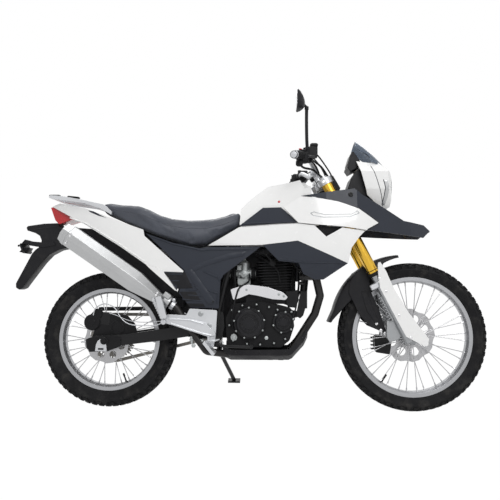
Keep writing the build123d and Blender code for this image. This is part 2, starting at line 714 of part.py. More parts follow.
def leaning_prism(rows, z_low, z_high):
    """A plan outline drawn at the beak's level and drawn out upright, leaning to the left."""
    points = [Vector(x, y + beak_slope * (z_low - beak_level), z_low) for x, y in rows]
    way = Vector(0, beak_slope, 1) * (z_high - z_low)
    return extrude(Face(Wire.make_polygon(points)), amount=way.length, dir=tuple(way.normalized()))


beak_strip = beak_plan + [(x, y + beak_wall) for x, y in reversed(beak_plan)]
beak_side = leaning_prism(beak_strip, 700, 1100) & slab(beak_rows, -320, -4)
beak_inside = leaning_prism([(x, y + 1) for x, y in beak_plan] + [(814, 400), (150, 400)], 700, 1100)
beak_top = slab([(548, 955), (666, 890), (773, 876), (806, 850), (803, 843), (770, 868), (664, 882),
                 (545, 948)], -200, 200) & beak_inside & mirror(beak_inside, about=Plane.XZ)
beak = fused(beak_side, mirror(beak_side, about=Plane.XZ), beak_top)
side_panels = both_sides(biggest(panel(side_rows, rear_body, 0)))
tail_panels = both_sides(biggest(panel(tail_rows, rear_body, 0)))

tank_rows = [(-95, 868), (-89, 941), (-34, 994, 60), (39, 1047, 60), (114, 1058, 40), (207, 1079, 14),
             (232, 1060, 10), (236, 1000), (240, 950), (262, 880), (240, 812), (-60, 812)]
tank = slab(tank_rows, -200, 200) & front_body(-16)
for side in (-1, 1):
    recess = Plane(origin=on_axis(1010, -20, side * 95), x_dir=steer_forward, z_dir=steer_up) * Box(
        112, 100, 340)
    tank -= recess
tank -= pipe([on_axis(985), (240, 0, 900), backbone_rear, (-180, 0, 700)], 24 + 6, 90)
tank -= pipe([on_axis(958), (228, 0, 740), (209, 0, 560)], tube + 9, 120)
tank -= rod(on_axis(800), on_axis(1120), head_tube_radius + 6)
tank = biggest(tank)

seat_rows = [(-98, 872), (-92, 938, 10), (-115, 929), (-159, 909), (-215, 892), (-271, 884), (-338, 880),
             (-411, 886), (-468, 902), (-519, 928), (-565, 945), (-667, 958), (-765, 975, 12),
             (-748, 930), (-631, 880), (-533, 842), (-414, 797), (-318, 768), (-254, 777), (-169, 826)]
seat_half = [(-90, 78), (-220, 112), (-340, 138), (-470, 150), (-580, 140), (-690, 96), (-775, 66)]
seat_plan = seat_half + [(x, -y) for x, y in reversed(seat_half)]
seat = slab(seat_rows, -170, 170) & plan_slab(seat_plan, 700, 1000)

# ---- Frame body: headlight mask, lens, dash, screen ------------------------------------------
mask_side = [(452, 1176), (516, 1166), (540, 1180), (606, 1116), (625, 1071), (607, 958), (586, 946),
             (560, 960), (500, 1012)]
mask_front = [(-60, 1190), (60, 1190), (112, 1120), (104, 1040), (62, 940), (-62, 940), (-104, 1040),
              (-112, 1120)]


def mask_block(inset):
    """The mask's outer form, or one inset from it: side, front and a rounded plan."""
    front = [(y * (1 - inset / 112), 1065 + (z - 1065) * (1 - inset / 125)) for y, z in mask_front]
    nose = Solid.make_cylinder(190 - inset, 400, Plane(origin=(440, 0, 850), z_dir=(0, 0, 1)))
    side = [(x - inset, z) for x, z in mask_side]
    return slab(side, -160, 160) & front_slab(front, 380, 700) & nose


mask_wall = 5.0
lens_window = front_slab([(-70, 1108), (70, 1108), (82, 1050), (48, 962), (-48, 962), (-82, 1050)], 540, 700)
lens_window_wide = front_slab([(-70.4, 1108.4), (70.4, 1108.4), (82.5, 1050), (48.3, 961.6),
                               (-48.3, 961.6), (-82.5, 1050)], 540, 700)
mask_solid = mask_block(0)
mask_shell = mask_solid - Pos(-mask_wall * 2.2, 0, 0) * mask_block(mask_wall)
headlight_mask = biggest(mask_shell - lens_window_wide)
headlight_lens = biggest((mask_block(0) & lens_window) - Pos(-26, 0, 0) * mask_block(0))

screen_foot = Vector(575, 0, 1122)
screen_head = Vector(456, 0, 1286)
screen_way = screen_head - screen_foot
screen_outer = [(478, -92), (540, -66), (576, 0), (540, 66), (478, 92)]
screen_arc = Face(Wire([
    ThreePointArc(*[Vector(x, y, screen_foot.Z) for x, y in ((470, -92), (575, 0), (470, 92))]),
    Line(Vector(470, 92, screen_foot.Z), Vector(465.5, 90, screen_foot.Z)),
    ThreePointArc(*[Vector(x, y, screen_foot.Z) for x, y in ((465.5, 90), (571, 0), (465.5, -90))]),
    Line(Vector(465.5, -90, screen_foot.Z), Vector(470, -92, screen_foot.Z)),
]))
screen_long = extrude(screen_arc, amount=screen_way.length, dir=screen_way.normalized())
windscreen = biggest(screen_long & slab([(440, 1292), (444, 1210), (462, 1190), (520, 1184), (545, 1186),
                                         (612, 1118), (620, 1300)], -160, 160))

dash = slab([(392, 1139, 6), (413, 1224, 8), (434, 1207), (450, 1168, 6), (446, 1140), (416, 1114, 8)], -78, 78)

# ---- Frame body: rack, lamp, mudguard, pegs, guards --------------------------------------------
rack_rows = [(-1002, 992, 4), (-995, 1004, 3), (-937, 1000), (-851, 985), (-736, 960, 6), (-697, 926, 6),
             (-700, 912), (-754, 943), (-831, 966), (-980, 986)]
rack_half = 112.0
rack = slab(rack_rows, -rack_half, rack_half)
for y in (-62, 62):
    rack -= plan_slab([(-960, y - 34), (-760, y - 34), (-760, y + 34), (-960, y + 34)], 900, 1020)
rack -= plan_slab([(-785, -98), (-600, -98), (-600, 98), (-785, 98)], 880, 1040)
rack_hole_radius = 4.25
rack_holes = [(-880, -14), (-880, 14), (-852, -14), (-852, 14)]
for x, y in rack_holes:
    rack -= rod((x, y, 900), (x, y, 1040), rack_hole_radius)
rack = biggest(rack)

tail_lamp = slab([(-1008, 950), (-990, 956), (-905, 912), (-892, 898), (-967, 872, 6), (-985, 890)], -62, 62)

rear_fender = fused(
    slab([(-1000, 868), (-1000, 884), (-1109, 866, 10), (-1142, 858), (-1142, 840), (-1199, 578),
          (-1183, 553, 6), (-1144, 566), (-1058, 676), (-1020, 736), (-981, 753), (-940, 756),
          (-930, 800), (-940, 862)], -44, 44),
    slab([(-975, 862), (-975, 800), (-930, 790), (-620, 742), (-590, 760), (-780, 850)], -40, 40))

hanger_inner = 156.0
peg_hangers = []
for s in (-1, 1):
    near, far = hanger_inner, hanger_inner + 8
    y0, y1 = (s * far, s * near) if s < 0 else (near, far)
    plate = slab([(-316, 478, 8), (-190, 472, 8), (-196, 354, 8), (-206, 300, 10), (-236, 300, 10),
                  (-232, 364, 8), (-310, 408, 6), (-404, 420, 6), (-450, 432, 6), (-442, 452, 6),
                  (-330, 448, 8)], y0, y1)
    bosses = [bar_y(x, z, *sorted((s * (near + 2), s * (rail_half + plate_half + fit_gap))), 8) for x, z in ((-220, 440), (-221, 358))]
    peg_hangers.append(fused(plate, *bosses))

pegs = []
for s in (-1, 1):
    y0, y1 = sorted((s * (hanger_inner + 8.3), s * 246))
    pegs.append(slab([(-246, 330, 4), (-238, 340, 4), (-190, 286, 4), (-200, 274, 4)], y0, y1))
for s in (-1, 1):
    y0, y1 = sorted((s * 184, s * 206))
    pegs.append(fused(
        slab([(-440, 432, 6), (-411, 438, 6), (-440, 534, 6), (-466, 530, 6)], y0, y1),
        bar_y(-424, 440, *sorted((s * (hanger_inner + 8.3), s * 188)), 8)))

skid_plate = slab([(-156, 246, 4), (-132, 232, 8), (144, 236, 14), (220, 324, 10), (225, 346),
                   (216, 348), (211, 328), (140, 241), (-130, 237), (-152, 250)], -104, 104)
skid_sides = [slab([(-155, 246), (-131, 233), (143, 237), (219, 325), (230, 396), (190, 350), (130, 285),
                    (-140, 275)], *sorted((s * 104, s * 99))) for s in (-1, 1)]
skid_plate = fused(skid_plate, *skid_sides)

caliper_rows = [(-812, 405, 6), (-760, 455, 8), (-700, 452, 8), (-706, 395), (-744, 400), (-790, 372, 6)]
rear_caliper = slab(caliper_rows, -88 + fit_gap, -50) - bar_y(rear_axle.X, rear_axle.Z, -69, -59, 118)
chain_guard = slab([(-803, 472, 6), (-586, 476), (-400, 470, 6), (-400, 455), (-586, 457), (-800, 453)],
                   60, 84)
chain_guard = fused(chain_guard, bar_y(-470, 464, 78, 100, 6), rod((-470, 98, 464), (-470, 98, 378.8), 6))

foot_levers = [
    fused(pipe([(-212, -136, 326), (-160, -138, 308), (-40, -168, 310)], 7, 60),
          bar_y(-34, 311, -190, -156, 9), bar_y(-212, 326, -hanger_inner + fit_gap, -118, 12)),
    fused(pipe([(-150, 112, 330), (-90, 140, 304), (-20, 150, 314)], 6, 60),
          bar_y(-16, 315, 140, 190, 9), bar_y(-150, 330, 52.3, 118, 9))]

# ---- Side stand ------------------------------------------------------------------------------------
stand_pivot = Vector(-205, 122, 262)
stand_foot = Vector(-140, 321, 321 * tan(radians(lean)))
ground_up = Vector(0, -sin(radians(lean)), cos(radians(lean)))
pad_thick = 9.0
stand_down = (stand_foot - stand_pivot).normalized()
stand_back = Vector(-1, 0.12, 0.10).normalized()
stand_axis = stand_down.cross(stand_back).normalized()
stand_swing = stand_down.get_angle(stand_back)
head_half, head_radius, leg_radius, bolt_radius = 11.0, 14.0, 10.0, 6.0
stand_leg = rod(stand_pivot + stand_down * 6, stand_foot + ground_up * (pad_thick * 0.9), leg_radius)
stand_pad = Plane(origin=stand_foot + ground_up * (pad_thick / 2), x_dir=(1, 0, 0),
                  z_dir=ground_up) * Box(64, 44, pad_thick)
stand_head = rod(stand_pivot - stand_axis * head_half, stand_pivot + stand_axis * head_half, head_radius)
side_stand = fused(stand_leg, stand_pad, stand_head) - rod(
    stand_pivot - stand_axis * 40, stand_pivot + stand_axis * 40, bolt_radius + running_gap)
lug_seat = stand_pivot + stand_axis * (head_half + fit_gap)
lug_top = stand_pivot + stand_axis * (head_half + 15)
main_frame = fused(
    main_frame,
    rod((-200, 92, 310), lug_top - stand_axis * 4, 8),
    rod(lug_seat, lug_top, head_radius),
    rod(stand_pivot - stand_axis * (head_half + 4), lug_top, bolt_radius))

# ---- Front mudguard, guards and caliper on the fork ----------------------------------------------------
fender_gap = 24.0


def fender_band(grow, thick, start, stop, half):
    """A strip round the front tyre, a gap outside it, between two angles."""
    inner = front_tyre_radius + fender_gap + grow
    rows = []
    for reach, turns in ((inner, (start, (start + stop) / 2, stop)), (inner + thick, (stop, (start + stop) / 2,
                                                                                  start))):
        rows.append([Vector(front_axle.X + reach * cos(radians(t)), -half,
                            front_axle.Z + reach * sin(radians(t))) for t in turns])
    wire = Wire([ThreePointArc(*rows[0]), Line(rows[0][2], rows[1][0]), ThreePointArc(*rows[1]),
                 Line(rows[1][2], rows[0][0])])
    return extrude(Face(wire), amount=2 * half, dir=(0, 1, 0))


front_fender = fused(
    fender_band(0, 5, 104, 170, 62),
    *[slab([(446, 640), (402, 590), (416, 540), (470, 470), (528, 470), (560, 600), (640, 700), (620, 718),
            (540, 704), (486, 676)], *sorted((s * 62, s * 57))) for s in (-1, 1)])
front_fender -= bar_y(front_axle.X, front_axle.Z, -70, 70, front_tyre_radius + 12)
front_fender = biggest(front_fender)

fork_guards = []
for s in (-1, 1):
    y0, y1 = sorted((s * (fork_spread + 27), s * (fork_spread + 33)))
    guard = slab([(551, 697), (543, 695), (539, 688), (541, 638), (548, 580), (600, 480), (664, 360),
                  (722, 330), (754, 318), (762, 322), (766, 352), (742, 382), (676, 470), (612, 574),
                  (577, 655)], y0, y1)
    foot, face = sorted((s * (fork_spread + inner_tube_radius + fit_gap), s * (fork_spread + 30)))
    pads = [bar_y(on_fork(z, 4).X, on_fork(z, 4).Z, foot, face, 9) for z in (606, 452)]
    fork_guards.append(fused(guard, *pads))

front_caliper = slab([(552, 345, 6), (560, 268, 8), (628, 258, 8), (640, 345, 6)], 48, 76)
front_caliper -= bar_y(front_axle.X, front_axle.Z, 57, 67, front_disc_radius + 6)

mirror_base = fused(
    rod(mirror_foot - Vector(0, 0, mirror_hole_depth - 1), mirror_foot + Vector(0, 0, 2),
        mirror_hole_radius - running_gap),
    rod(mirror_foot, mirror_foot + Vector(0, 0, 12), 9),
    rod(mirror_foot + Vector(0, 0, 8), mirror_knee, 5.5), ball(mirror_knee, 6),
    rod(mirror_knee, mirror_neck, 5.5), ball(mirror_neck, 9))
mirror_right = fused(mirror_base, mirror_head)

# ---- Hand over: lean the machine onto its stand and write every piece --------------------------------
pieces = {
    "front_tyre": front_tyre, "front_rim": front_rim, "front_hub": front_hub,
    "front_spokes": front_spokes, "front_disc": front_disc,
    "rear_tyre": rear_tyre, "rear_rim": rear_rim, "rear_hub": rear_hub,
    "rear_spokes": rear_spokes, "rear_disc": rear_disc, "rear_sprocket": rear_sprocket,
    "fork_outer_tubes": fork_outer, "fork_lower_legs": fork_lower, "fork_guards": fork_guards,
    "triple_clamps": triple_clamps, "handlebar": handlebar, "grips": grips + bar_ends,
    "hand_controls": controls, "mirror": mirror_right, "front_mudguard": front_fender,
    "front_caliper": front_caliper,
    "main_frame": main_frame, "subframe": subframe, "swingarm": swingarm, "shock_absorber": shock,
    "engine_case": engine_case, "engine_cylinder": engine_cylinder, "engine_covers": engine_covers,
    "engine_trim": engine_trim, "carburettor": carburettor,
    "drive_chain": chain, "chain_guard": chain_guard, "exhaust_pipe": exhaust_pipe,
    "muffler": muffler, "fuel_tank": tank, "knee_covers": knee_covers,
    "lower_bands": lower_bands, "lower_shrouds": lower_shrouds, "upper_shrouds": upper_shrouds,
    "beak": beak, "headlight_mask": headlight_mask, "headlight_lens": headlight_lens,
    "windscreen": windscreen, "dash": dash, "seat": seat, "side_panels": side_panels,
    "tail_panels": tail_panels, "luggage_rack": rack, "tail_lamp": tail_lamp,
    "rear_mudguard": rear_fender, "peg_hangers": peg_hangers, "foot_pegs": pegs,
    "skid_plate": skid_plate, "rear_caliper": rear_caliper, "foot_levers": foot_levers,
    "side_stand": side_stand,
}


def as_one(piece):
    """A list of solids as one shape."""
    return Compound(children=list(piece)) if isinstance(piece, list) else piece


def leaned(shape):
    """The shape turned to the left about the line on the ground under the bike."""
    return shape.rotate(Axis((0, 0, 0), (1, 0, 0)), -lean)


placed = {name: leaned(as_one(piece)) for name, piece in pieces.items()}
boxes = [shape.bounding_box() for shape in placed.values()]
low = [min(getattr(box.min, side) for box in boxes) for side in "XYZ"]
high = [max(getattr(box.max, side) for box in boxes) for side in "XYZ"]
shift = Vector(-(low[0] + high[0]) / 2, -(low[1] + high[1]) / 2, -low[2])
os.makedirs("parts", exist_ok=True)
for name, shape in placed.items():
    export_step(shape.moved(Location(shift)), f"parts/{name}.step")

# ---- Where the joints and fastenings lie in the written frame ------------------------------------------
lines = {  # name: (a point on the line, its direction)
    "front_axle": (front_axle, Vector(0, 1, 0)),
    "rear_axle": (rear_axle, Vector(0, 1, 0)),
    "steering": (on_axis(980), steer_up),
    "side_stand": (stand_pivot, stand_axis),
    "left_mirror_hole": (along_grip(perch_place, 1) + Vector(0, 0, mirror_boss - mirror_hole_depth / 2),
                         Vector(0, 0, 1)),
    "rack_bolts": (Vector(-866, 0, 980), Vector(0, 0, 1)),
}
turn = Location((0, 0, 0), (-lean, 0, 0))
for name, (point, way) in lines.items():
    spot = (turn * Location(point)).position + shift
    heading = (turn * Location(way)).position
    print(name, [round(v / 1000, 6) for v in spot], [round(v, 7) for v in heading])
print("side stand swing", round(stand_swing, 3), "degrees")
print("size", [round(high[i] - low[i], 1) for i in range(3)], "shift", [round(v, 3) for v in shift])
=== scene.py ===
import bpy
import bmesh
import json
from math import atan2, copysign, cos, hypot, pi, radians, sin
from mathutils import Matrix, Vector
from mathutils.bvhtree import BVHTree
from mathutils.geometry import delaunay_2d_cdt


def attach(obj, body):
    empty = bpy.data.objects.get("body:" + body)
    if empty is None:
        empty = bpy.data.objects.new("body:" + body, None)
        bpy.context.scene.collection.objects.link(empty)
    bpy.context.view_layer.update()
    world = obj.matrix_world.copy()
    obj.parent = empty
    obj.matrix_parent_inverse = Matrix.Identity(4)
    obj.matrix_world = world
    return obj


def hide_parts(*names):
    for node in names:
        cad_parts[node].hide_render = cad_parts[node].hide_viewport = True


# Looks for the dual sport motorcycle. Small pieces are drawn on the upright machine in
# millimetres (X forward, Y left, Z up, from the middle of the wheelbase) and are leaned
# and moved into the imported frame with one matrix, which the wheels' joints give.

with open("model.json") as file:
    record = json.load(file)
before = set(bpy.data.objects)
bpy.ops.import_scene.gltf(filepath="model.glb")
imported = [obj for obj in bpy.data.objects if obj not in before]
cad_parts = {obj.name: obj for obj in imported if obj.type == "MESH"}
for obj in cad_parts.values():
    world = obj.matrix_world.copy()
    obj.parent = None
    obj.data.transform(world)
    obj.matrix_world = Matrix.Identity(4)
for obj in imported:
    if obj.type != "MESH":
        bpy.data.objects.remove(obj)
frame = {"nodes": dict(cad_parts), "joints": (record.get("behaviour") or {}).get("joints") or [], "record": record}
nodes = frame["nodes"]
joints = {joint["name"]: joint for joint in frame["joints"]}
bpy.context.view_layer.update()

# ---- Where things are ----
SIDES = (-1, 1)                     # right and left
AHEAD, ACROSS, UP = Vector((1, 0, 0)), Vector((0, 1, 0)), Vector((0, 0, 1))
OWN_AXES = (AHEAD, ACROSS, UP)
RIGHTWARD = -ACROSS
WHEELBASE = 1435.0
front_pin = Vector(joints["front_wheel_spin"]["pos_m"])
rear_pin = Vector(joints["rear_wheel_spin"]["pos_m"])
left_way = Vector(joints["front_wheel_spin"]["axis"])
lean = atan2(-left_way.z, left_way.y)
front_height = front_pin.z / cos(lean) * 1000
rear_height = rear_pin.z / cos(lean) * 1000
shift = Vector((front_pin.x - WHEELBASE / 2000, front_pin.y - front_height / 1000 * sin(lean), 0))
PLACE = Matrix.Translation(shift) @ Matrix.Rotation(-lean, 4, "X") @ Matrix.Scale(0.001, 4)
front_axle = Vector((WHEELBASE / 2, 0, front_height))
rear_axle = Vector((-WHEELBASE / 2, 0, rear_height))

RAKE = radians(27.5)
FORK_SPREAD, FORK_OFFSET = 98.0, 30.0
fork_top = Vector((320, 0, 1042))
steer_up = Vector((-sin(RAKE), 0, cos(RAKE)))
steer_forward = Vector((cos(RAKE), 0, sin(RAKE)))
STEERED = (steer_forward, ACROSS, steer_up)


def on_fork(height, ahead=0.0, across=0.0):
    """A point of the fork legs' line at a height, moved ahead and across."""
    base = fork_top + steer_up * ((height - fork_top.z) / steer_up.z) + steer_forward * ahead
    return Vector((base.x, across, base.z))


def turns(count, start=0.0):
    """Equal angles round a circle, moved on by a share of one step."""
    return [2 * pi * (k + start) / count for k in range(count)]


def around(centre, radius, angle, across=0.0):
    """A point a radius from a centre, at an angle in the side view, moved across."""
    return centre + Vector((radius * cos(angle), across, radius * sin(angle)))


# ---- Materials ----
M = {}                              # every finish, by the name of its slot or its node
NOISE_LOW, NOISE_HIGH = 0.3, 0.7     # most of a noise lies between these
RINGS_A_METRE = 900.0               # turning marks of the brake discs
DUST = (0.30, 0.28, 0.25)
BEVEL_SAMPLES = 4


def new_material(name):
    """An empty node material, kept in M: its tree and its Principled shader."""
    material = bpy.data.materials.new(name)
    material.use_nodes = True
    M[name] = material
    tree = material.node_tree
    return tree, next(node for node in tree.nodes if node.type == "BSDF_PRINCIPLED")


def connect(tree, node, **inputs):
    """Set a node's inputs by name, or by number as _0; one given as a socket is linked."""
    for key, value in inputs.items():
        key = key.strip("_").replace("_", " ")
        socket = node.inputs[int(key)] if key.isdigit() else node.inputs[key]
        if isinstance(value, bpy.types.NodeSocket):
            tree.links.new(value, socket)
        else:
            socket.default_value = value
    return node


def add(tree, kind, **inputs):
    """A new node of a kind with its inputs set."""
    return connect(tree, tree.nodes.new(kind), **inputs)


def maths(tree, operation, a, b):
    """The output of a Math node."""
    node = add(tree, "ShaderNodeMath", _0=a, _1=b)
    node.operation = operation
    return node.outputs[0]


def vector_maths(tree, operation, **inputs):
    """The single value that a Vector Math node gives."""
    node = add(tree, "ShaderNodeVectorMath", **inputs)
    node.operation = operation
    return node.outputs["Value"]


def ramp(tree, value, low, high, start, stop):
    """A value remapped from low..high to start..stop, kept inside them."""
    return add(tree, "ShaderNodeMapRange", Value=value, From_Min=low, From_Max=high, To_Min=start,
               To_Max=stop).outputs[0]


def mixed(tree, share, first, second):
    """A colour between two, as a share says."""
    node = tree.nodes.new("ShaderNodeMix")
    node.data_type = "RGBA"
    first, second = (colour if isinstance(colour, bpy.types.NodeSocket) else (*colour, 1.0)
                     for colour in (first, second))
    return connect(tree, node, _0=share, _6=first, _7=second).outputs[2]


def coordinates(tree):
    return tree.nodes.new("ShaderNodeTexCoord").outputs["Object"]


def place_of(tree, stretch=(1, 1, 1), turn=(0, 0, 0)):
    """The piece's own coordinates, in metres, stretched along the machine's axes."""
    upright = add(tree, "ShaderNodeMapping", Vector=coordinates(tree), Rotation=(lean, 0, 0))
    turned = add(tree, "ShaderNodeMapping", Vector=upright.outputs[0], Rotation=turn)
    return add(tree, "ShaderNodeMapping", Vector=turned.outputs[0], Scale=stretch).outputs[0]


def cloud(tree, place, scale, detail=3.0):
    """Noise of about 0 to 1 with so many features a metre."""
    return add(tree, "ShaderNodeTexNoise", Vector=place, Scale=scale, Detail=detail,
               Roughness=0.55).outputs[0]


def both_of(tree, first, share, second, high=NOISE_HIGH):
    """Two noises joined, the first by its share, and stretched to 0 to 1."""
    total = maths(tree, "ADD", maths(tree, "MULTIPLY", first, share),
                  maths(tree, "MULTIPLY", second, 1 - share))
    return ramp(tree, total, NOISE_LOW, high, 0.0, 1.0)


def spread(tree, noise, low, high):
    """A noise remapped so that most of it lies between two values."""
    return ramp(tree, noise, NOISE_LOW, NOISE_HIGH, low, high)


def shade(colour, factor):
    """A colour made lighter or darker."""
    return tuple(min(1.0, channel * factor) for channel in colour)


def bevelled(tree, radius):
    """The surface's way out with its edges rounded."""
    bevel = add(tree, "ShaderNodeBevel", Radius=radius)
    bevel.samples = BEVEL_SAMPLES
    return bevel.outputs[0]


def surface(name, colour, rough, metal=0.0, variation=0.08, grain=400.0, grain_height=0.00003,
            edge=0.0, edge_colour=None, round_edge=0.0012, coat=0.0, stretch=(1, 1, 1),
            turn=(0, 0, 0), dust=0.0, specular=0.5, smudge=0.12):
    """A hard or rubbery finish: uneven colour and gloss, fine grain, rounded and worn edges."""
    tree, shader = new_material(name)
    plain = place_of(tree)
    place = place_of(tree, stretch, turn) if stretch != (1, 1, 1) else plain
    fine = cloud(tree, place, grain, 4.0)
    base = mixed(tree, both_of(tree, cloud(tree, plain, 9.0), 0.65, fine),
                 shade(colour, 1 - variation), shade(colour, 1 + variation))
    bump = add(tree, "ShaderNodeBump", Height=fine, Strength=1.0, Distance=grain_height)
    if round_edge:
        rounded = bevelled(tree, round_edge)
        connect(tree, bump, Normal=rounded)
        if edge:
            flat = tree.nodes.new("ShaderNodeNewGeometry").outputs["Normal"]
            worn = ramp(tree, vector_maths(tree, "DOT_PRODUCT", _0=rounded, _1=flat),
                        0.97, 0.80, 0.0, edge)
            worn = maths(tree, "MULTIPLY", worn,
                         ramp(tree, cloud(tree, plain, 60.0), 0.42, 0.62, 0.0, 1.0))
            base = mixed(tree, worn, base, edge_colour or shade(colour, 2.5))
    if dust:
        patchy = ramp(tree, cloud(tree, plain, 26.0, 6.0), 0.5, 0.75, 0.0, dust)
        base = mixed(tree, patchy, base, DUST)
    gloss = spread(tree, cloud(tree, plain, 34.0, 5.0), rough * (1 - smudge),
                   min(1.0, rough * (1 + smudge)))
    connect(tree, shader, Base_Color=base, Roughness=gloss, Normal=bump.outputs[0],
            Metallic=metal, Specular_IOR_Level=specular)
    if coat:
        connect(tree, shader, Coat_Weight=coat, Coat_Roughness=0.06)


def turned_metal(name, colour, rough, centre):
    """Metal ground or turned round an axle, with fine rings."""
    tree, shader = new_material(name)
    to_axle = add(tree, "ShaderNodeMapping", Vector=coordinates(tree), Rotation=(lean, 0, 0))
    level = add(tree, "ShaderNodeMapping", Vector=to_axle.outputs[0],
                Location=-(Matrix.Rotation(lean, 3, "X") @ centre))
    flat = add(tree, "ShaderNodeMapping", Vector=level.outputs[0], Scale=(1, 0, 1))
    reach = vector_maths(tree, "LENGTH", _0=flat.outputs[0])
    ring = add(tree, "ShaderNodeCombineXYZ", X=maths(tree, "MULTIPLY", reach, RINGS_A_METRE))
    lines = add(tree, "ShaderNodeTexNoise", Vector=ring.outputs[0], Scale=1.0, Detail=3.0).outputs[0]
    tone = both_of(tree, lines, 0.6, cloud(tree, place_of(tree), 24.0))
    bump = add(tree, "ShaderNodeBump", Height=lines, Strength=1.0, Distance=0.00004,
               Normal=bevelled(tree, 0.0008))
    connect(tree, shader, Base_Color=mixed(tree, tone, shade(colour, 0.86), shade(colour, 1.1)),
            Roughness=spread(tree, lines, rough * 0.75, rough * 1.25),
            Normal=bump.outputs[0], Metallic=1.0)


def clear(name, colour, rough, through, ior=1.45):
    """A see-through moulding with faint waves and smears."""
    tree, shader = new_material(name)
    plain = place_of(tree)
    tone = spread(tree, cloud(tree, plain, 14.0), 0.0, 1.0)
    bump = add(tree, "ShaderNodeBump", Height=cloud(tree, plain, 30.0), Strength=1.0, Distance=0.0002)
    connect(tree, shader, Base_Color=mixed(tree, tone, shade(colour, 0.94), shade(colour, 1.05)),
            Roughness=spread(tree, cloud(tree, plain, 60.0, 5.0), rough * 0.6, rough * 1.4),
            Normal=bump.outputs[0], Transmission_Weight=through, IOR=ior)


def vinyl(name, colour):
    """Seat cover: a leather-like grain with soft gloss."""
    tree, shader = new_material(name)
    plain = place_of(tree)
    cells = add(tree, "ShaderNodeTexVoronoi", Vector=plain, Scale=560.0)
    cells.feature = "DISTANCE_TO_EDGE"
    grain = ramp(tree, cells.outputs[0], 0.0, 0.12, 0.0, 1.0)
    height = maths(tree, "ADD", grain, maths(tree, "MULTIPLY", cloud(tree, plain, 900.0, 2.0), 0.5))
    broad = cloud(tree, plain, 11.0)
    tone = both_of(tree, broad, 0.6, grain, 0.8)
    bump = add(tree, "ShaderNodeBump", Height=height, Strength=1.0, Distance=0.00012)
    connect(tree, shader, Base_Color=mixed(tree, tone, shade(colour, 0.8), shade(colour, 1.12)),
            Roughness=spread(tree, broad, 0.42, 0.58), Normal=bump.outputs[0], Sheen_Weight=0.15)


WHITE = (0.88, 0.88, 0.875)
DARK = (0.023, 0.027, 0.038)
BLACK = (0.011, 0.011, 0.012)
muffler_turn = (0, radians(34.5), 0)

surface("tyre_rubber", BLACK, 0.72, variation=0.2, grain=700, grain_height=0.00006, dust=0.08,
        round_edge=0.0015, specular=0.16)
surface("rim_alloy", (0.38, 0.385, 0.40), 0.34, 0.9, variation=0.05, edge=0.3, edge_colour=(0.8, 0.8, 0.8))
surface("hub_alloy", (0.34, 0.35, 0.36), 0.42, 0.85, grain=900, grain_height=0.00008)
surface("spoke_steel", (0.46, 0.46, 0.47), 0.26, 1.0, round_edge=0.0)
turned_metal("front_disc", (0.46, 0.46, 0.47), 0.30, front_pin)
turned_metal("rear_disc", (0.40, 0.40, 0.41), 0.30, rear_pin)
surface("chain_steel", (0.20, 0.19, 0.175), 0.45, 0.9, variation=0.25, grain=500)
surface("gold_tube", (0.70, 0.43, 0.055), 0.22, 0.92, variation=0.04, grain=160,
        stretch=(1, 1, 0.15), turn=(0, RAKE, 0), grain_height=0.00001)
surface("fork_grey", (0.34, 0.35, 0.36), 0.36, 0.85, grain=600, edge=0.3)
surface("white_plastic", WHITE, 0.22, coat=0.5, variation=0.015, grain=30, grain_height=0.00004,
        round_edge=0.0022, smudge=0.3)
surface("silver_alloy", (0.57, 0.58, 0.60), 0.36, 0.75, grain=900, edge=0.35, edge_colour=(0.9, 0.9, 0.9))
surface("rubber", BLACK, 0.66, variation=0.18, grain=900, specular=0.18)
surface("black_plastic", (0.011, 0.011, 0.013), 0.44, variation=0.15, grain=1400,
        grain_height=0.00005, dust=0.03, specular=0.18)
surface("black_metal", BLACK, 0.34, specular=0.22, variation=0.12, edge=0.5,
        edge_colour=(0.30, 0.30, 0.31))
surface("engine_black", (0.010, 0.010, 0.011), 0.50, 0.1, variation=0.2, grain=1100,
        grain_height=0.00010, edge=0.6, edge_colour=(0.22, 0.22, 0.23), specular=0.16)
surface("engine_cover", (0.012, 0.012, 0.014), 0.34, 0.1, variation=0.15, grain=1100,
        grain_height=0.00005, edge=0.4, edge_colour=(0.25, 0.25, 0.26), specular=0.22)
surface("bright_trim", (0.66, 0.66, 0.68), 0.16, 0.95, variation=0.04)
surface("carb_grey", (0.40, 0.42, 0.42), 0.46, 0.8, variation=0.12, grain=900, grain_height=0.0001)
surface("pipe_dark", (0.020, 0.019, 0.019), 0.38, 0.6, variation=0.25, grain=60)
surface("muffler_steel", (0.44, 0.445, 0.45), 0.34, 0.9, variation=0.06, grain=500,
        stretch=(0.05, 1, 1), turn=muffler_turn, grain_height=0.00002, round_edge=0.003)
surface("dark_plastic", DARK, 0.36, variation=0.08, grain=1500, grain_height=0.00005,
        round_edge=0.0022, coat=0.1, specular=0.22)
clear("lens_clear", (0.93, 0.96, 0.98), 0.05, 0.95)
clear("screen_smoke", (0.22, 0.26, 0.32), 0.08, 0.55, ior=1.2)
vinyl("seat_cover", (0.044, 0.050, 0.067))
surface("lamp_red", (0.52, 0.003, 0.008), 0.16, variation=0.25, grain=260, coat=0.3, grain_height=0.0003)
surface("bolt_steel", (0.70, 0.70, 0.71), 0.25, 0.95, variation=0.06, round_edge=0.0005)
M["foot_pegs"] = M["silver_alloy"]

slots = {part["node"]: part["material_slot"] for part in frame["record"]["subparts"]}
for name, node in nodes.items():
    node.data.materials.clear()
    node.data.materials.append(M[name if name in M else slots[name]])

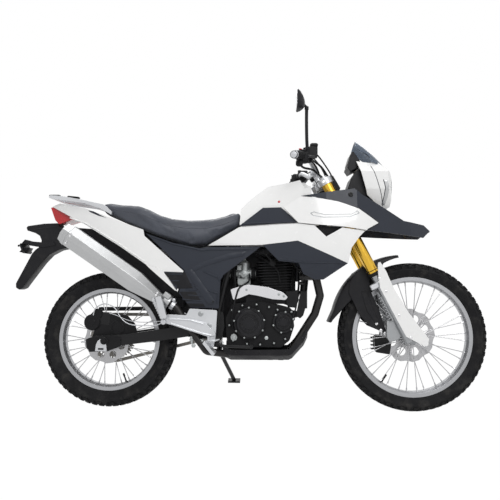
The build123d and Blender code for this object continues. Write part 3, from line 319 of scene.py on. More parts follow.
# ---- Floor, light and camera ----
scene = bpy.context.scene
scene.view_settings.view_transform = "Standard"
FLOOR_SIZE = 60.0                   # metres across
WORLD_LIGHT, WORLD_SEEN = 0.42, 1.0
FLOOR_SEEN, FLOOR_GLOW = 0.975, 1.02
EYE = (0.1157, -2.7404, 1.1745)     # the camera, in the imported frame's metres
LENS_MM, SENSOR_MM = 40.24, 36
yaw, pitch = radians(2.1192), radians(9.2994)


def background_share(tree, low, high):
    """A low value, and a high one for rays that the camera sees directly, in gloss or glass."""
    path = tree.nodes.new("ShaderNodeLightPath").outputs
    seen = maths(tree, "MAXIMUM", path["Is Camera Ray"], path["Is Glossy Ray"])
    return ramp(tree, maths(tree, "MAXIMUM", seen, path["Is Transmission Ray"]), 0, 1, low, high)


scene.world = bpy.data.worlds.new("studio")
scene.world.use_nodes = True
world_tree = scene.world.node_tree
connect(world_tree, world_tree.nodes["Background"], Color=(1, 1, 1, 1),
        Strength=background_share(world_tree, WORLD_LIGHT, WORLD_SEEN))

bpy.ops.mesh.primitive_grid_add(x_subdivisions=8, y_subdivisions=8, size=FLOOR_SIZE)
floor = bpy.context.object
floor.name = "floor"
tree, shader = new_material("floor")
connect(tree, shader, Roughness=0.9, Specular_IOR_Level=0.1,
        Base_Color=spread(tree, cloud(tree, coordinates(tree), 3.0), 0.90, 0.94))
glow = add(tree, "ShaderNodeEmission", Color=(1, 1, 1, 1), Strength=FLOOR_GLOW)
both = add(tree, "ShaderNodeMixShader", _0=background_share(tree, 0.0, FLOOR_SEEN),
           _1=shader.outputs[0], _2=glow.outputs[0])
connect(tree, tree.nodes["Material Output"], Surface=both.outputs[0])
floor.data.materials.append(M["floor"])


def lamp(name, at, aim, size, power):
    """A soft rectangular lamp at a point, aimed at another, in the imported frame."""
    data = bpy.data.lights.new(name, "AREA")
    data.shape = "RECTANGLE"
    data.size, data.size_y = size
    data.energy = power
    thing = bpy.data.objects.new(name, data)
    scene.collection.objects.link(thing)
    thing.location = at
    thing.rotation_euler = (Vector(aim) - Vector(at)).to_track_quat("-Z", "Y").to_euler()


lamp("key", (1.2, -3.2, 3.4), (0, 0, 0.5), (2.4, 1.6), 62)
lamp("top", (-0.6, -0.2, 4.0), (0, 0, 0.5), (3.0, 3.0), 58)
lamp("back", (0.4, 3.4, 2.6), (0, 0, 0.6), (3.0, 1.6), 40)

camera_data = bpy.data.cameras.new("camera")
camera = bpy.data.objects.new("camera", camera_data)
scene.collection.objects.link(camera)
scene.camera = camera
camera_data.lens = LENS_MM
camera_data.sensor_width = SENSOR_MM
camera_data.clip_end = 100
camera.location = EYE
camera_way = Vector((-sin(yaw) * cos(pitch), cos(yaw) * cos(pitch), -sin(pitch)))
camera.rotation_euler = camera_way.to_track_quat("-Z", "Y").to_euler()

# ---- Building small forms ----


def square_to(way):
    """Two directions square to a way and to each other."""
    side = way.cross(UP)
    if side.length < 0.1:
        side = way.cross(AHEAD)
    side.normalize()
    return side, way.cross(side).normalized()


def circle(middle, directions, radius, sides):
    """Points round a middle, in the plane of two directions."""
    first, second = directions
    return [middle + first * (radius * cos(angle)) + second * (radius * sin(angle))
            for angle in turns(sides)]


def through(points, steps):
    """Points on a smooth line through the given ones."""
    points = [Vector(p) for p in points]
    ends = [points[0] * 2 - points[1]] + points + [points[-1] * 2 - points[-2]]
    line = []
    for a, b, c, d in zip(ends, ends[1:], ends[2:], ends[3:]):
        for k in range(steps):
            t = k / steps
            line.append(0.5 * (2 * b + (c - a) * t + (2 * a - 5 * b + 4 * c - d) * t * t +
                               (3 * b - a - 3 * c + d) * t ** 3))
    return line + [points[-1]]


def mirrored(points, side):
    """Points of the left side, on the side asked for."""
    return [(x, side * y, z) for x, y, z in points]


class Forms:
    """Simple forms gathered into one mesh, in the upright machine's millimetres."""

    def __init__(self):
        self.mesh = bmesh.new()

    def rings(self, loops, joined=False):
        """Faces between loops of equal count; the ends are closed or joined to each other."""
        rows = [[self.mesh.verts.new(point) for point in loop] for loop in loops]
        for low, high in zip(rows, rows[1:] + rows[:1] if joined else rows[1:]):
            for i in range(len(low)):
                j = (i + 1) % len(low)
                self.mesh.faces.new((low[i], low[j], high[j], high[i]))
        if not joined:
            self.mesh.faces.new(rows[0][::-1])
            self.mesh.faces.new(rows[-1])

    def turned(self, base, way, rows, sides=24):
        """A turned form from (along, radius) rows about a line; its ends are closed."""
        base, way = Vector(base), Vector(way).normalized()
        directions = square_to(way)
        self.rings([circle(base + way * along, directions, radius, sides) for along, radius in rows])

    def hoop(self, base, way, rows, sides=64):
        """A closed section of (along, radius) rows turned all the way round a line."""
        base, way = Vector(base), Vector(way).normalized()
        first, second = square_to(way)
        outs = [first * cos(angle) + second * sin(angle) for angle in turns(sides)]
        self.rings([[base + way * along + out * radius for along, radius in rows] for out in outs], True)

    def rod(self, start, end, radius, sides=16):
        """A round bar whose ends are a little rounded."""
        start, end = Vector(start), Vector(end)
        length = (end - start).length
        tip = min(radius * 0.25, length * 0.3)
        self.turned(start, end - start, [(0, radius - tip), (tip, radius), (length - tip, radius),
                                         (length, radius - tip)], sides)

    def bolt(self, place, way, size=5.0, washer=True, socket=False):
        """A hexagon or socket head on a washer, its way pointing out of the surface."""
        place, way = Vector(place), Vector(way).normalized()
        if washer:
            self.turned(place, way, [(-1, size * 1.45), (size * 0.16, size * 1.45),
                                     (size * 0.22, size * 1.35)], 20)
            place = place + way * (size * 0.22)
        if socket:
            self.turned(place, way, [(-1, size), (size * 0.75, size), (size * 0.9, size * 0.86),
                                     (size * 0.9, size * 0.55), (size * 0.35, size * 0.5)], 16)
        else:
            self.turned(place, way, [(-1, size), (size * 0.7, size), (size * 0.85, size * 0.86)], 6)

    def slab(self, rows, low, high, inset=1.0):
        """A side-view outline of (x, z) rows between two distances across, edges eased."""
        points = [Vector((x, 0, z)) for x, z in rows]
        middle = sum(points, Vector()) / len(points)
        small = [point + (middle - point).normalized() * inset for point in points]
        step = inset if high > low else -inset
        self.rings([[p + ACROSS * y for p in outline] for outline, y in (
            (small, low), (points, low + step), (points, high - step), (small, high))])

    def slabs(self, rows, near, far, inset=1.0):
        """The same slab on both sides, between two distances from the middle."""
        for side in SIDES:
            self.slab(rows, side * near, side * far, inset)

    def box(self, centre, sizes, ease=1.0, axes=OWN_AXES):
        """A box with eased edges along three axes."""
        ax, ay, az = (Vector(axis).normalized() for axis in axes)
        hx, hy, hz = (size / 2 for size in sizes)
        loops = []
        for z, cut in ((-hz, ease), (-hz + ease, 0), (hz - ease, 0), (hz, ease)):
            x, y = hx - cut, hy - cut
            corners = [(x, y - ease), (x - ease, y), (-x + ease, y), (-x, y - ease),
                       (-x, -y + ease), (-x + ease, -y), (x - ease, -y), (x, -y + ease)]
            loops.append([Vector(centre) + ax * u + ay * v + az * z for u, v in corners])
        self.rings(loops)

    def tube(self, points, radius, sides=10):
        """A round tube on a smooth line through its points."""
        line = through(points, 6)
        loops, side = [], square_to((line[1] - line[0]).normalized())[0]
        for i, point in enumerate(line):
            way = (line[min(i + 1, len(line) - 1)] - line[max(i - 1, 0)]).normalized()
            side = (side - way * side.dot(way)).normalized()
            loops.append(circle(point, (side, way.cross(side)), radius, sides))
        self.rings(loops)

    def piece(self, name, body, material, slot=None, sharp=35, replaces=()):
        """The gathered mesh as an object of the scene that rides on a body."""
        bmesh.ops.recalc_face_normals(self.mesh, faces=self.mesh.faces)
        data = bpy.data.meshes.new(name)
        self.mesh.to_mesh(data)
        self.mesh.free()
        data.transform(PLACE)
        data.shade_smooth()
        data.set_sharp_from_angle(angle=radians(sharp))
        thing = bpy.data.objects.new(name, data)
        scene.collection.objects.link(thing)
        data.materials.append(M[material])
        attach(thing, body)
        if replaces:
            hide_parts(*replaces)


# ---- Tyres: a carcass with its tread blocks ----
CARCASS_SIDES = 120


def make_tyre(name, body, node, axle, radius, width, rim_radius, rim_width, pitches, depth):
    """The tyre: rounded carcass, a raised line on each wall and staggered tread blocks."""
    half, wall = width / 2, radius - rim_radius
    section = ((0, radius), (half * 0.30, radius - 1.2), (half * 0.66, rim_radius + 0.93 * wall),
               (half - 5, rim_radius + 0.80 * wall), (half, rim_radius + 0.60 * wall),
               (half - 2, rim_radius + 0.40 * wall), (rim_width / 2 + 2, rim_radius + 3),
               (rim_width / 2 - 4.2, rim_radius + 1), (rim_width / 2 - 4.2, rim_radius - 13))
    line = through([(y, r, 0) for y, r in section], 6)
    along = [0.0]
    for a, b in zip(line, line[1:]):
        along.append(along[-1] + (b - a).length)

    def spot(s):
        """A place on the section at a length from the crown, and the way out of the rubber."""
        s = max(0.0, min(s, along[-1] - 0.01))
        i = max(k for k in range(len(along) - 1) if along[k] <= s)
        place = line[i].lerp(line[i + 1], (s - along[i]) / (along[i + 1] - along[i]))
        way = (line[i + 1] - line[i]).normalized()
        return place, Vector((-way.y, way.x, 0))

    tread_end = next(s for s, point in zip(along, line) if point.y < rim_radius + 0.66 * wall)
    forms = Forms()
    rows = []
    for s in along:
        place, out = spot(s)
        sunk = depth * max(0.0, min(1.0, (tread_end + 2 - s) / 6))
        rib = 0.9 if abs(s - tread_end - 9) < 3 else 0.0
        place += out * (rib - sunk)
        rows.append((place.x, place.y))
    forms.hoop(axle, ACROSS, rows + [(-y, r) for y, r in rows[:0:-1]], CARCASS_SIDES)

    def block(side, s0, s1, a0, a1, skew):
        """One block between two lengths across and two angles round, with sloping walls."""
        loops = []
        for drop, grow in ((depth + 1.0, 1.7), (1.3, 0.25), (0.0, -0.9)):
            loop = []
            for share, late in ((0, 0), (0, 1), (0.5, 1), (1, 1), (1, 0), (0.5, 0)):
                s = s0 + (s1 - s0) * share
                place, out = spot(s + grow * (2 * share - 1))
                angle = (a1 if late else a0) + (grow * (2 * late - 1) + skew * (s - s0)) / radius
                place -= out * drop
                loop.append(around(axle, place.y, angle, side * place.x))
            loops.append(loop)
        forms.rings(loops)

    step = 2 * pi / pitches
    for index in range(pitches):
        shoulder = tread_end + (2 if index % 2 else -2)
        for side in SIDES:
            a = step * (index + (0.5 if side > 0 else 0))
            for s0, s1, start, stop, skew in ((2.5, width * 0.17, 0, 0.56, 0.25),
                                              (width * 0.22, width * 0.40, 0.42, 0.96, 0.15),
                                              (width * 0.45, shoulder, 0.02, 0.58, 0.0)):
                block(side, s0, s1, a + step * start, a + step * stop, skew)
    forms.piece(name, body, "tyre_rubber", sharp=28, replaces=(node,))


make_tyre("front_tyre_dressed", "front_wheel", "front_tyre", front_axle, 348, 92, 280.5, 58, 64, 7.0)
make_tyre("rear_tyre_dressed", "rear_wheel", "rear_tyre", rear_axle, 321, 106, 242.5, 64, 58, 8.0)

# ---- Wheels: nipples, valve stems, bolts ----
DISC_BOLT_CIRCLE, SPROCKET_BOLT_CIRCLE = 43, 50
SPROCKET_FACE = 74
SPOKE_PAIRS = 9                     # on each side of a wheel
SPOKE_PITCH, SPOKE_SPLIT, SPOKE_LEAN = 360 / SPOKE_PAIRS, 3.0, 21.0     # in degrees


def wheel_details(wheel, axle, hub_radius, hub_half, rim_inner, disc_y, valve_angle):
    """Spoke nipples and heads, the disc's bolts and the valve stem."""
    nipples, bolts, stem = Forms(), Forms(), Forms()
    for side in SIDES:
        for index in range(SPOKE_PAIRS):
            for lead in (-1, 1):
                root = radians(SPOKE_PITCH * (index + 0.25 * (side + 1)) + SPOKE_SPLIT * lead)
                tip = root + lead * radians(SPOKE_LEAN)
                start = around(axle, hub_radius + 1.3, root, side * (hub_half + 2.4 * lead))
                end = around(axle, rim_inner - 1.1, tip, side * (8 + 2.4 * lead))
                way = (end - start).normalized()
                nipples.turned(end - way * 15, way, [(0, 2.3), (1, 3.1), (13, 3.1), (17, 4.4)], 8)
                nipples.turned(start - way * 2, way, [(0, 2.0), (1.5, 4.2), (4.5, 4.0), (6, 2.4)], 8)
    nipples.piece(wheel + "_nipples", wheel, "spoke_steel")
    for angle in turns(6, 0.5):
        bolts.bolt(around(axle, DISC_BOLT_CIRCLE, angle, disc_y), (0, disc_y, 0), 5.0, socket=True)
    bolts.piece(wheel + "_disc_bolts", wheel, "bolt_steel")
    angle = radians(valve_angle)
    stem.turned(around(axle, rim_inner + 1, angle), (-cos(angle), 0, -sin(angle)),
                [(0, 7), (2, 7), (3, 4), (26, 3.4), (27, 4.4), (40, 4.4), (42, 3.2)], 14)
    stem.piece(wheel + "_valve", wheel, "rubber")


wheel_details("front_wheel", front_axle, 34, 31, 255.5, 64, 237)
wheel_details("rear_wheel", rear_axle, 42, 35, 217.5, -66, 291)
sprocket_bolts = Forms()
for angle in turns(6):
    sprocket_bolts.bolt(around(rear_axle, SPROCKET_BOLT_CIRCLE, angle, SPROCKET_FACE), ACROSS, 5.5)
sprocket_bolts.piece("sprocket_bolts", "rear_wheel", "bolt_steel")

# ---- Steering: caps, seals, bolts, grips, hoses ----
LEG_TOP, LEG_LOW = 1082.0, 640.0
LEG_OUTSIDE = FORK_SPREAD + 33
GRIP_RIBS, RIB_STEP = 15, 6.4
bar_tip, bar_bend = Vector((150, -390, 1132)), Vector((212, -210, 1172))
grip_way = (bar_tip - bar_bend).normalized()


def along_grip(distance, side):
    """A point of the handlebar a distance in from its end, on one side."""
    point = bar_tip - grip_way * distance
    return Vector((point.x, point.y * -side, point.z))


def inward(side):
    """The way in from the bar's end, on one side."""
    return Vector((-grip_way.x, grip_way.y * side, -grip_way.z))


caps, seals, clamp_bolts = Forms(), Forms(), Forms()
for side in SIDES:
    top, low = (on_fork(height, 0, side * FORK_SPREAD) for height in (LEG_TOP, LEG_LOW))
    caps.turned(top, steer_up, [(-2, 23), (3, 23), (5, 21), (5, 15), (12, 14), (13, 12)], 28)
    seals.hoop(low, steer_up, [(-6, 21.2), (-6, 25), (2, 26.5), (10, 26.5), (11, 24.9), (0, 21.2)], 32)
    seals.hoop(low + steer_up * 20, steer_up, [(0, 24.9), (0, 26), (3, 26), (3, 24.9)], 32)
    for height in (1072, 894, 882):
        clamp_bolts.bolt(on_fork(height, -14, side * LEG_OUTSIDE), ACROSS * side, 5, socket=True)
    for ahead in (-13, 13):
        place = on_fork(1132, 12 - FORK_OFFSET + ahead, side * 45) + steer_up * 17
        clamp_bolts.bolt(place, steer_up, 4.6, socket=True)
clamp_bolts.turned(on_fork(1094, -FORK_OFFSET), steer_up,
                   [(-4, 20), (3, 20), (5, 18), (5, 13), (14, 12), (15, 10)], 6)
caps.piece("fork_caps", "steering", "silver_alloy")
seals.piece("fork_seals", "steering", "rubber")
clamp_bolts.piece("clamp_bolts", "steering", "bolt_steel")

ribs, weights, switches, reservoir = Forms(), Forms(), Forms(), Forms()
for side in SIDES:
    way = inward(side)
    for k in range(GRIP_RIBS):
        ribs.hoop(along_grip(10 + k * RIB_STEP, side), way,
                  [(0, 16.8), (0, 17.8), (1.2, 18.4), (3.0, 18.4), (4.2, 17.8), (4.2, 16.8)], 24)
    weights.turned(along_grip(-22, side) - way * 3, way,
                   [(0, 6), (0.5, 6), (1.5, 11), (2.5, 13.5), (8, 16.6), (12, 16.6), (13, 15.4),
                    (15, 15.4), (16, 16.6), (21, 16.6), (22, 15)], 28)
    switch = along_grip(129, side)
    switches.box(switch + Vector((-16, 0, 6)), (22, 30, 30), 3, (AHEAD, way, UP))
    for lift in (16, 4):
        switches.box(switch + Vector((-29, 0, lift)), (7, 12, 7), 1.5)
    switches.box(along_grip(159, side) + Vector((20, side * 2, 17)), (44, 40, 24), 3)
lid = along_grip(159, -1) + Vector((22, -2, 30))
reservoir.box(lid, (48, 44, 4), 1.5)
for ahead in (-17, 17):
    reservoir.bolt(lid + Vector((ahead, 0, 2)), UP, 3, washer=False, socket=True)
ribs.piece("grip_ribs", "steering", "rubber")
weights.piece("bar_weights", "steering", "silver_alloy")
switches.piece("switch_blocks", "steering", "black_plastic")
reservoir.piece("reservoir_cap", "steering", "engine_cover")

hoses, clips = Forms(), Forms()
hoses.tube([(236, -232, 1176), (262, -176, 1178), (300, -110, 1150), (336, -60, 1110), (360, -30, 1060),
            (386, 20, 1000), (420, 60, 930), (455, 78, 860), (488, 84, 790), (520, 88, 720), (546, 84, 650),
            (566, 70, 560), (580, 62, 460), (590, 60, 400), (592, 62, 352)], 3.4)
hoses.tube([(222, 236, 1170), (262, 160, 1172), (300, 96, 1140), (318, 52, 1100), (318, 30, 1062)], 3.0)
hoses.tube([(220, -240, 1160), (250, -170, 1160), (288, -104, 1130), (312, -56, 1092), (316, -34, 1058)], 3.0)
for side in SIDES:
    hoses.tube(mirrored([(190, 300, 1150), (206, 230, 1158), (252, 150, 1140), (276, 80, 1116)], side), 3.6)
hoses.piece("steering_hoses", "steering", "rubber")
for place in ((455, 78, 860), (520, 88, 720), (566, 70, 560)):
    clips.turned(Vector(place) - steer_up * 6, steer_up, [(0, 4.6), (0.5, 5), (11.5, 5), (12, 4.6)], 14)
clips.turned((592, 62, 344), UP, [(0, 7), (1, 7.6), (9, 7.6), (10, 5), (20, 4.6)], 6)
clips.piece("hose_clips", "steering", "bolt_steel")

# Bolts, ribbed bracket and caliper parts of the fork's lower end.
bright, brackets, ribbed, cast, nuts, caliper = (Forms() for _ in range(6))
for x, z in ((545.7, 413), (564.6, 380), (585, 368)):
    bright.bolt((x, -62, z), RIGHTWARD, 5.4)
for side in SIDES:
    for height in (618, 560, 452, 352):
        bright.bolt(on_fork(height, 6, side * LEG_OUTSIDE), ACROSS * side, 4.2, socket=True)
    brackets.box(on_fork(598, -24, side * 106), (44, 26, 26), 3, STEERED)
    for k in range(9):
        ribbed.box(on_fork(546 - k * 13, -26 - 0.2 * k, side * 92), (20, 26, 6), 1.5, STEERED)
    ribbed.box(on_fork(494, -22, side * 92), (10, 22, 118), 1.5, STEERED)
    nuts.turned((front_axle.x, side * 118, front_axle.z), ACROSS * side,
                [(0, 13), (1, 14), (7, 14), (8, 12), (8, 8), (12, 8), (12.5, 6)], 6 if side < 0 else 24)
cast.slabs([(584, 430), (625, 439), (662, 372), (640, 342), (600, 330), (584, 352)], 76, 92, 4)
caliper.slab([(552, 340), (566, 352), (622, 348), (634, 330), (628, 272), (612, 262), (566, 268),
              (556, 286)], 76, 92, 3)
for z in (330, 286):
    caliper.turned((592, 90, z), ACROSS, [(0, 17), (6, 17), (8, 15), (8, 9), (6, 8)], 24)
for k in range(4):
    caliper.box((546, 66, 338 - k * 18), (14, 18, 7), 1.5)
bright.piece("fork_bolts", "steering", "bolt_steel")
brackets.piece("guard_brackets", "steering", "silver_alloy")
ribbed.piece("ribbed_brackets", "steering", "fork_grey")
cast.piece("fork_castings", "steering", "fork_grey")
nuts.piece("front_axle_nuts", "steering", "bolt_steel")
caliper.piece("front_caliper_body", "steering", "engine_black")

# The mirror: glass set in the back of its head.
glass = Forms()
glass.box((157.6, -336, 1383), (1.6, 102, 66), 0.5)
glass.piece("mirror_glass", "steering", "bright_trim", slot="black_plastic")

# ---- Engine: cover bosses and rings, bolts, hoses and leads ----
engine_bolts, fittings = Forms(), Forms()
COVER_FACE = 84.3
for x, z, radius, depth, side in ((-47, 412, 62, 44, -1), (111, 417, 40, 26, -1), (62, 398, 64, 40, 1)):
    centre, way = Vector((x, 0, z)), ACROSS * side
    face, ring = side * (COVER_FACE + depth * 0.55), side * (COVER_FACE + depth)
    for angle in turns(9 if radius > 50 else 6, 0.3):
        boss = around(centre, radius + 8, angle, face - side * 16)
        fittings.turned(boss, way, [(0, 8), (14, 8), (16, 7)], 16)
        engine_bolts.bolt(around(centre, radius + 8, angle, face), way, 2.9)
    fittings.hoop((x, ring, z), way, [(0, radius * 0.62), (0, radius * 0.74), (1.8, radius * 0.73),
                                      (1.8, radius * 0.63)], 48)
    for angle in turns(12):
        radial = (around(Vector(), 1, angle), ACROSS, around(Vector(), 1, angle + pi / 2))
        fittings.box(around(centre, radius * 0.52, angle, ring + side * 0.6), (radius * 0.14, 3, 3),
                     0.8, radial)
for x, z in ((-122, 330), (-57, 316), (4, 313), (68, 320), (120, 340), (148, 465), (84, 474),
             (44, 486), (-14, 497), (-80, 492), (-128, 470), (-140, 400)):
    fittings.turned((x, -78, z), RIGHTWARD, [(0, 9), (13, 9), (15, 8)], 16)
    engine_bolts.bolt((x, -92.5, z), RIGHTWARD, 2.9)
for x, z in ((-120, 470), (-110, 330), (-40, 488), (130, 460), (140, 350), (90, 320), (0, 470)):
    engine_bolts.bolt((x, 84 if x > -50 else 52, z), ACROSS, 3.2)
for x, z in ((-97, 562), (-60, 566), (89, 545), (112, 537)):
    engine_bolts.bolt((x, -118, z), RIGHTWARD, 4.2, socket=True)
engine_bolts.turned((-118, -84, 345), RIGHTWARD, [(0, 17), (9, 17), (11, 15), (11, 9), (16, 8)], 8)
engine_bolts.turned((33, -128, 347), RIGHTWARD, [(0, 9), (3, 9), (4, 7)], 6)
engine_bolts.piece("engine_bolts", "frame", "carb_grey")

# The plug's cap and lead, hoses round the engine, and small brackets.
fittings.turned((60, -76, 690), RIGHTWARD, [(0, 11), (20, 11), (24, 15), (40, 15), (42, 11)], 18)
for points, radius in (
        ([(60, -112, 690), (40, -122, 716), (6, -112, 742), (-30, -88, 752), (-60, -70, 748)], 4.5),
        ([(-49, -66, 640), (-52, -96, 604), (-92, -124, 574), (-106, -124, 540), (-122, -116, 470),
          (-126, -104, 410), (-120, -96, 380)], 4.2),
        ([(-60, 40, 660), (-30, 66, 690), (10, 78, 720), (60, 70, 748)], 5.0),
        ([(-150, -60, 700), (-120, -78, 660), (-116, -84, 610), (-110, -84, 560), (-100, -86, 520)], 5.5),
        ([(150, -60, 700), (176, -46, 660), (184, -40, 600), (176, -50, 540), (150, -76, 500)], 5.0),
        ([(-20, -60, 730), (30, -84, 700), (80, -90, 660), (96, -88, 600)], 3.4)):
    fittings.tube(points, radius)
fittings.slab([(120, 560), (176, 566), (182, 520), (168, 484), (132, 486), (118, 520)], -96, -74, 4)
fittings.slab([(-20, 742), (24, 752), (70, 748), (64, 722), (-14, 720)], -44, 44, 6)
fittings.box((-6, -86, 548), (60, 18, 20), 4)
fittings.piece("engine_fittings", "frame", "engine_black")

# Carburettor: its lid, bowl legs and side caps, and the rubbers that hold it.
carb, rubbers = Forms(), Forms()
carb.turned((-76, 0, 688), UP, [(0, 27), (5, 27), (9, 24), (14, 16), (20, 10), (28, 9), (30, 6)], 28)
for dx, dy in ((-22, -22), (-22, 22), (22, -22), (22, 22)):
    carb.turned((-76 + dx, dy, 614), -UP, [(0, 6), (26, 6), (30, 4)], 12)
for place, rows, sides in (
        ((-76, -46, 640), [(0, 14), (4, 14), (6, 17), (10, 17), (11, 15)], 20),
        ((-76, -57, 640), [(0, 7), (8, 7), (9, 5)], 6),
        ((-56, -40, 606), [(0, 8), (8, 8), (9, 6)], 14),
        ((-96, -36, 640), [(0, 9), (12, 9), (14, 6), (20, 5)], 14)):
    carb.turned(place, RIGHTWARD, rows, sides)
carb.box((-98, -44, 668), (22, 12, 26), 2)
carb.piece("carburettor_parts", "frame", "carb_grey")
rubbers.hoop((-42, 0, 640), AHEAD, [(0, 27), (0, 33), (14, 35), (20, 33), (20, 27)], 32)
rubbers.hoop((-140, 0, 643), AHEAD, [(0, 27), (0, 36), (10, 38), (22, 36), (26, 31), (26, 27)], 32)
for k in range(3):
    rubbers.hoop((-150 + 12 * k, 0, 643), AHEAD, [(0, 27), (0, 39), (5, 39), (5, 27)], 32)
rubbers.piece("intake_rubbers", "frame", "rubber")

# Exhaust: flanges at the head, and the clamp in front of the muffler.
flange, clamps = Forms(), Forms()
port_way = (1, 0, 0.08)
for y in (-38, -76):
    flange.hoop((196, y, 629), port_way, [(0, 17.2), (0, 27), (7, 27), (7, 17.2)], 28)
    for up in (-1, 1):
        flange.bolt((203, y + up * 3, 629 + up * 32), port_way, 4.4)
        flange.turned((186, y + up * 3, 629 + up * 32), port_way, [(0, 8), (16, 8), (17, 7)], 12)
flange.piece("exhaust_flanges", "frame", "pipe_dark")
muffler_front, muffler_rear = Vector((-418, -138, 506)), Vector((-893, -178, 832))
muffler_way = (muffler_rear - muffler_front).normalized()
muffler_up = ACROSS.cross(muffler_way).normalized()
clamps.hoop(muffler_front - muffler_way * 34, muffler_way,
            [(0, 17.2), (0, 21), (1, 22.5), (17, 22.5), (18, 21), (18, 17.2)], 36)
clamps.box(muffler_front - muffler_way * 25 + Vector((6, -6, 24)), (16, 26, 16), 2)
clamps.bolt(muffler_front - muffler_way * 25 + Vector((6, -19, 24)), RIGHTWARD, 5)
clamps.piece("muffler_clamps", "frame", "silver_alloy")

# ---- Forms that follow a node's skin ----


def skin_of(mesh):
    """A mesh's faces in the upright machine's millimetres, for rays."""
    back = PLACE.inverted()
    return BVHTree.FromPolygons([back @ vertex.co for vertex in mesh.vertices],
                                [list(face.vertices) for face in mesh.polygons])


skins = {}
OUTSIDE, NEAR = 600, 160           # from the middle: beyond the machine, and close to its sides


def skin_y(name, x, z, side, other=None):
    """How far across a node's outer skin lies beside a place of the side view."""
    if name not in skins:
        skins[name] = skin_of(nodes[name].data)
    hit = skins[name].ray_cast(Vector((x, side * OUTSIDE, z)), RIGHTWARD * side)[0]
    if hit is not None:
        return hit.y
    return skins[name].find_nearest(Vector((x, side * NEAR, z)))[0].y if other is None else other


def walked(route, step, closed=False):
    """A side-view route with points added so that none are further apart than a step."""
    line = []
    for (x0, z0), (x1, z1) in zip(route, route[1:] + (route[:1] if closed else [])):
        count = max(1, round(hypot(x1 - x0, z1 - z0) / step))
        line += [(x0 + (x1 - x0) * i / count, z0 + (z1 - z0) * i / count) for i in range(count)]
    return line if closed else line + [route[-1]]


def welt(form, name, route, width, rise, side, step=9.0):
    """A low rib with eased edges along a side-view route on a node's skin."""
    line = walked(route, step)
    last = len(line) - 1
    loops = []
    for i, (x, z) in enumerate(line):
        (x1, z1), (x0, z0) = line[min(i + 1, last)], line[max(i - 1, 0)]
        long = hypot(x1 - x0, z1 - z0)
        off_x, off_z = -(z1 - z0) / long, (x1 - x0) / long
        top = rise * (0.4 if i in (0, last) else 1.0)
        middle = skin_y(name, x, z, side)
        loop = []
        for share, height in ((-0.5, -2.0), (-0.5, 0.1), (-0.26, top), (0.26, top), (0.5, 0.1), (0.5, -2.0)):
            px, pz = x + off_x * share * width, z + off_z * share * width
            loop.append(Vector((px, skin_y(name, px, pz, side, middle) + side * height, pz)))
        loops.append(loop)
    form.rings(loops)


def patch(form, name, outline, rise, side, step=10.0):
    """A thin raised field inside a side-view outline, laid on a node's skin."""
    edge = [Vector(point) for point in walked(outline, step, True)]
    if sum(a.x * b.y - b.x * a.y for a, b in zip(edge, edge[1:] + edge[:1])) < 0:
        edge.reverse()
    count = len(edge)

    def inside(point):
        """Whether a point is within the edge, and not so near it that a face would be thin."""
        odd = False
        for a, b in zip(edge, edge[1:] + edge[:1]):
            if (a.y > point.y) != (b.y > point.y):
                odd ^= point.x < a.x + (b.x - a.x) * (point.y - a.y) / (b.y - a.y)
        return odd and min((point - a).length for a in edge) > step * 0.55

    low = Vector((min(p.x for p in edge), min(p.y for p in edge)))
    high = Vector((max(p.x for p in edge), max(p.y for p in edge)))
    grid = [Vector((low.x + step * i, low.y + step * j)) for i in range(1, int((high.x - low.x) / step) + 1)
            for j in range(1, int((high.y - low.y) / step) + 1)]
    flat, _, faces, *_ = delaunay_2d_cdt(edge + [p for p in grid if inside(p)], [], [list(range(count))],
                                         1, 1e-4)
    mesh = form.mesh
    top = []
    for i, point in enumerate(flat):
        y = skin_y(name, point.x, point.y, side) + side * rise * (0.4 if i < count else 1.0)
        top.append(mesh.verts.new((point.x, y, point.y)))
    for face in faces:
        mesh.faces.new([top[i] for i in (face if side < 0 else reversed(face))])
    rim = [mesh.verts.new(vertex.co - ACROSS * (side * (rise + 2))) for vertex in top[:count]]
    for i in range(count):
        j = (i + 1) % count
        mesh.faces.new((top[i], top[j], rim[j], rim[i]))


# ---- Seat: the pad blown up a little inside its cover, then its seams ----
VOXEL = 0.006                       # the size of the pad's faces, in metres
PRESSURE, CLOTH_FRAMES = 4, 20
MOST_RISE = 0.007                   # no point of the pad moves further than this


def made_solid(thing):
    """Apply an object's modifiers to its mesh."""
    graph = bpy.context.evaluated_depsgraph_get()
    mesh = bpy.data.meshes.new_from_object(thing.evaluated_get(graph))
    old = thing.data
    thing.modifiers.clear()
    thing.data = mesh
    bpy.data.meshes.remove(old)


def eased(thing, times):
    """Smooth an object's mesh and apply every modifier that it has."""
    ease = thing.modifiers.new("ease", "SMOOTH")
    ease.factor, ease.iterations = 0.5, times
    made_solid(thing)


def blown_up(thing):
    """Let pressure push an object's mesh out as cloth, by no more than the limit."""
    rest = [vertex.co.copy() for vertex in thing.data.vertices]
    cloth = thing.modifiers.new("cloth", "CLOTH")
    cloth.settings.use_pressure = True
    cloth.settings.uniform_pressure_force = PRESSURE
    cloth.settings.quality = 5
    cloth.settings.effector_weights.gravity = 0
    cloth.point_cache.frame_start, cloth.point_cache.frame_end = 1, CLOTH_FRAMES
    for number in range(1, CLOTH_FRAMES + 1):
        scene.frame_set(number)
    made_solid(thing)
    for vertex, start in zip(thing.data.vertices, rest):
        move = vertex.co - start
        if move.length > MOST_RISE:
            vertex.co = start + move.normalized() * MOST_RISE
    scene.frame_set(1)


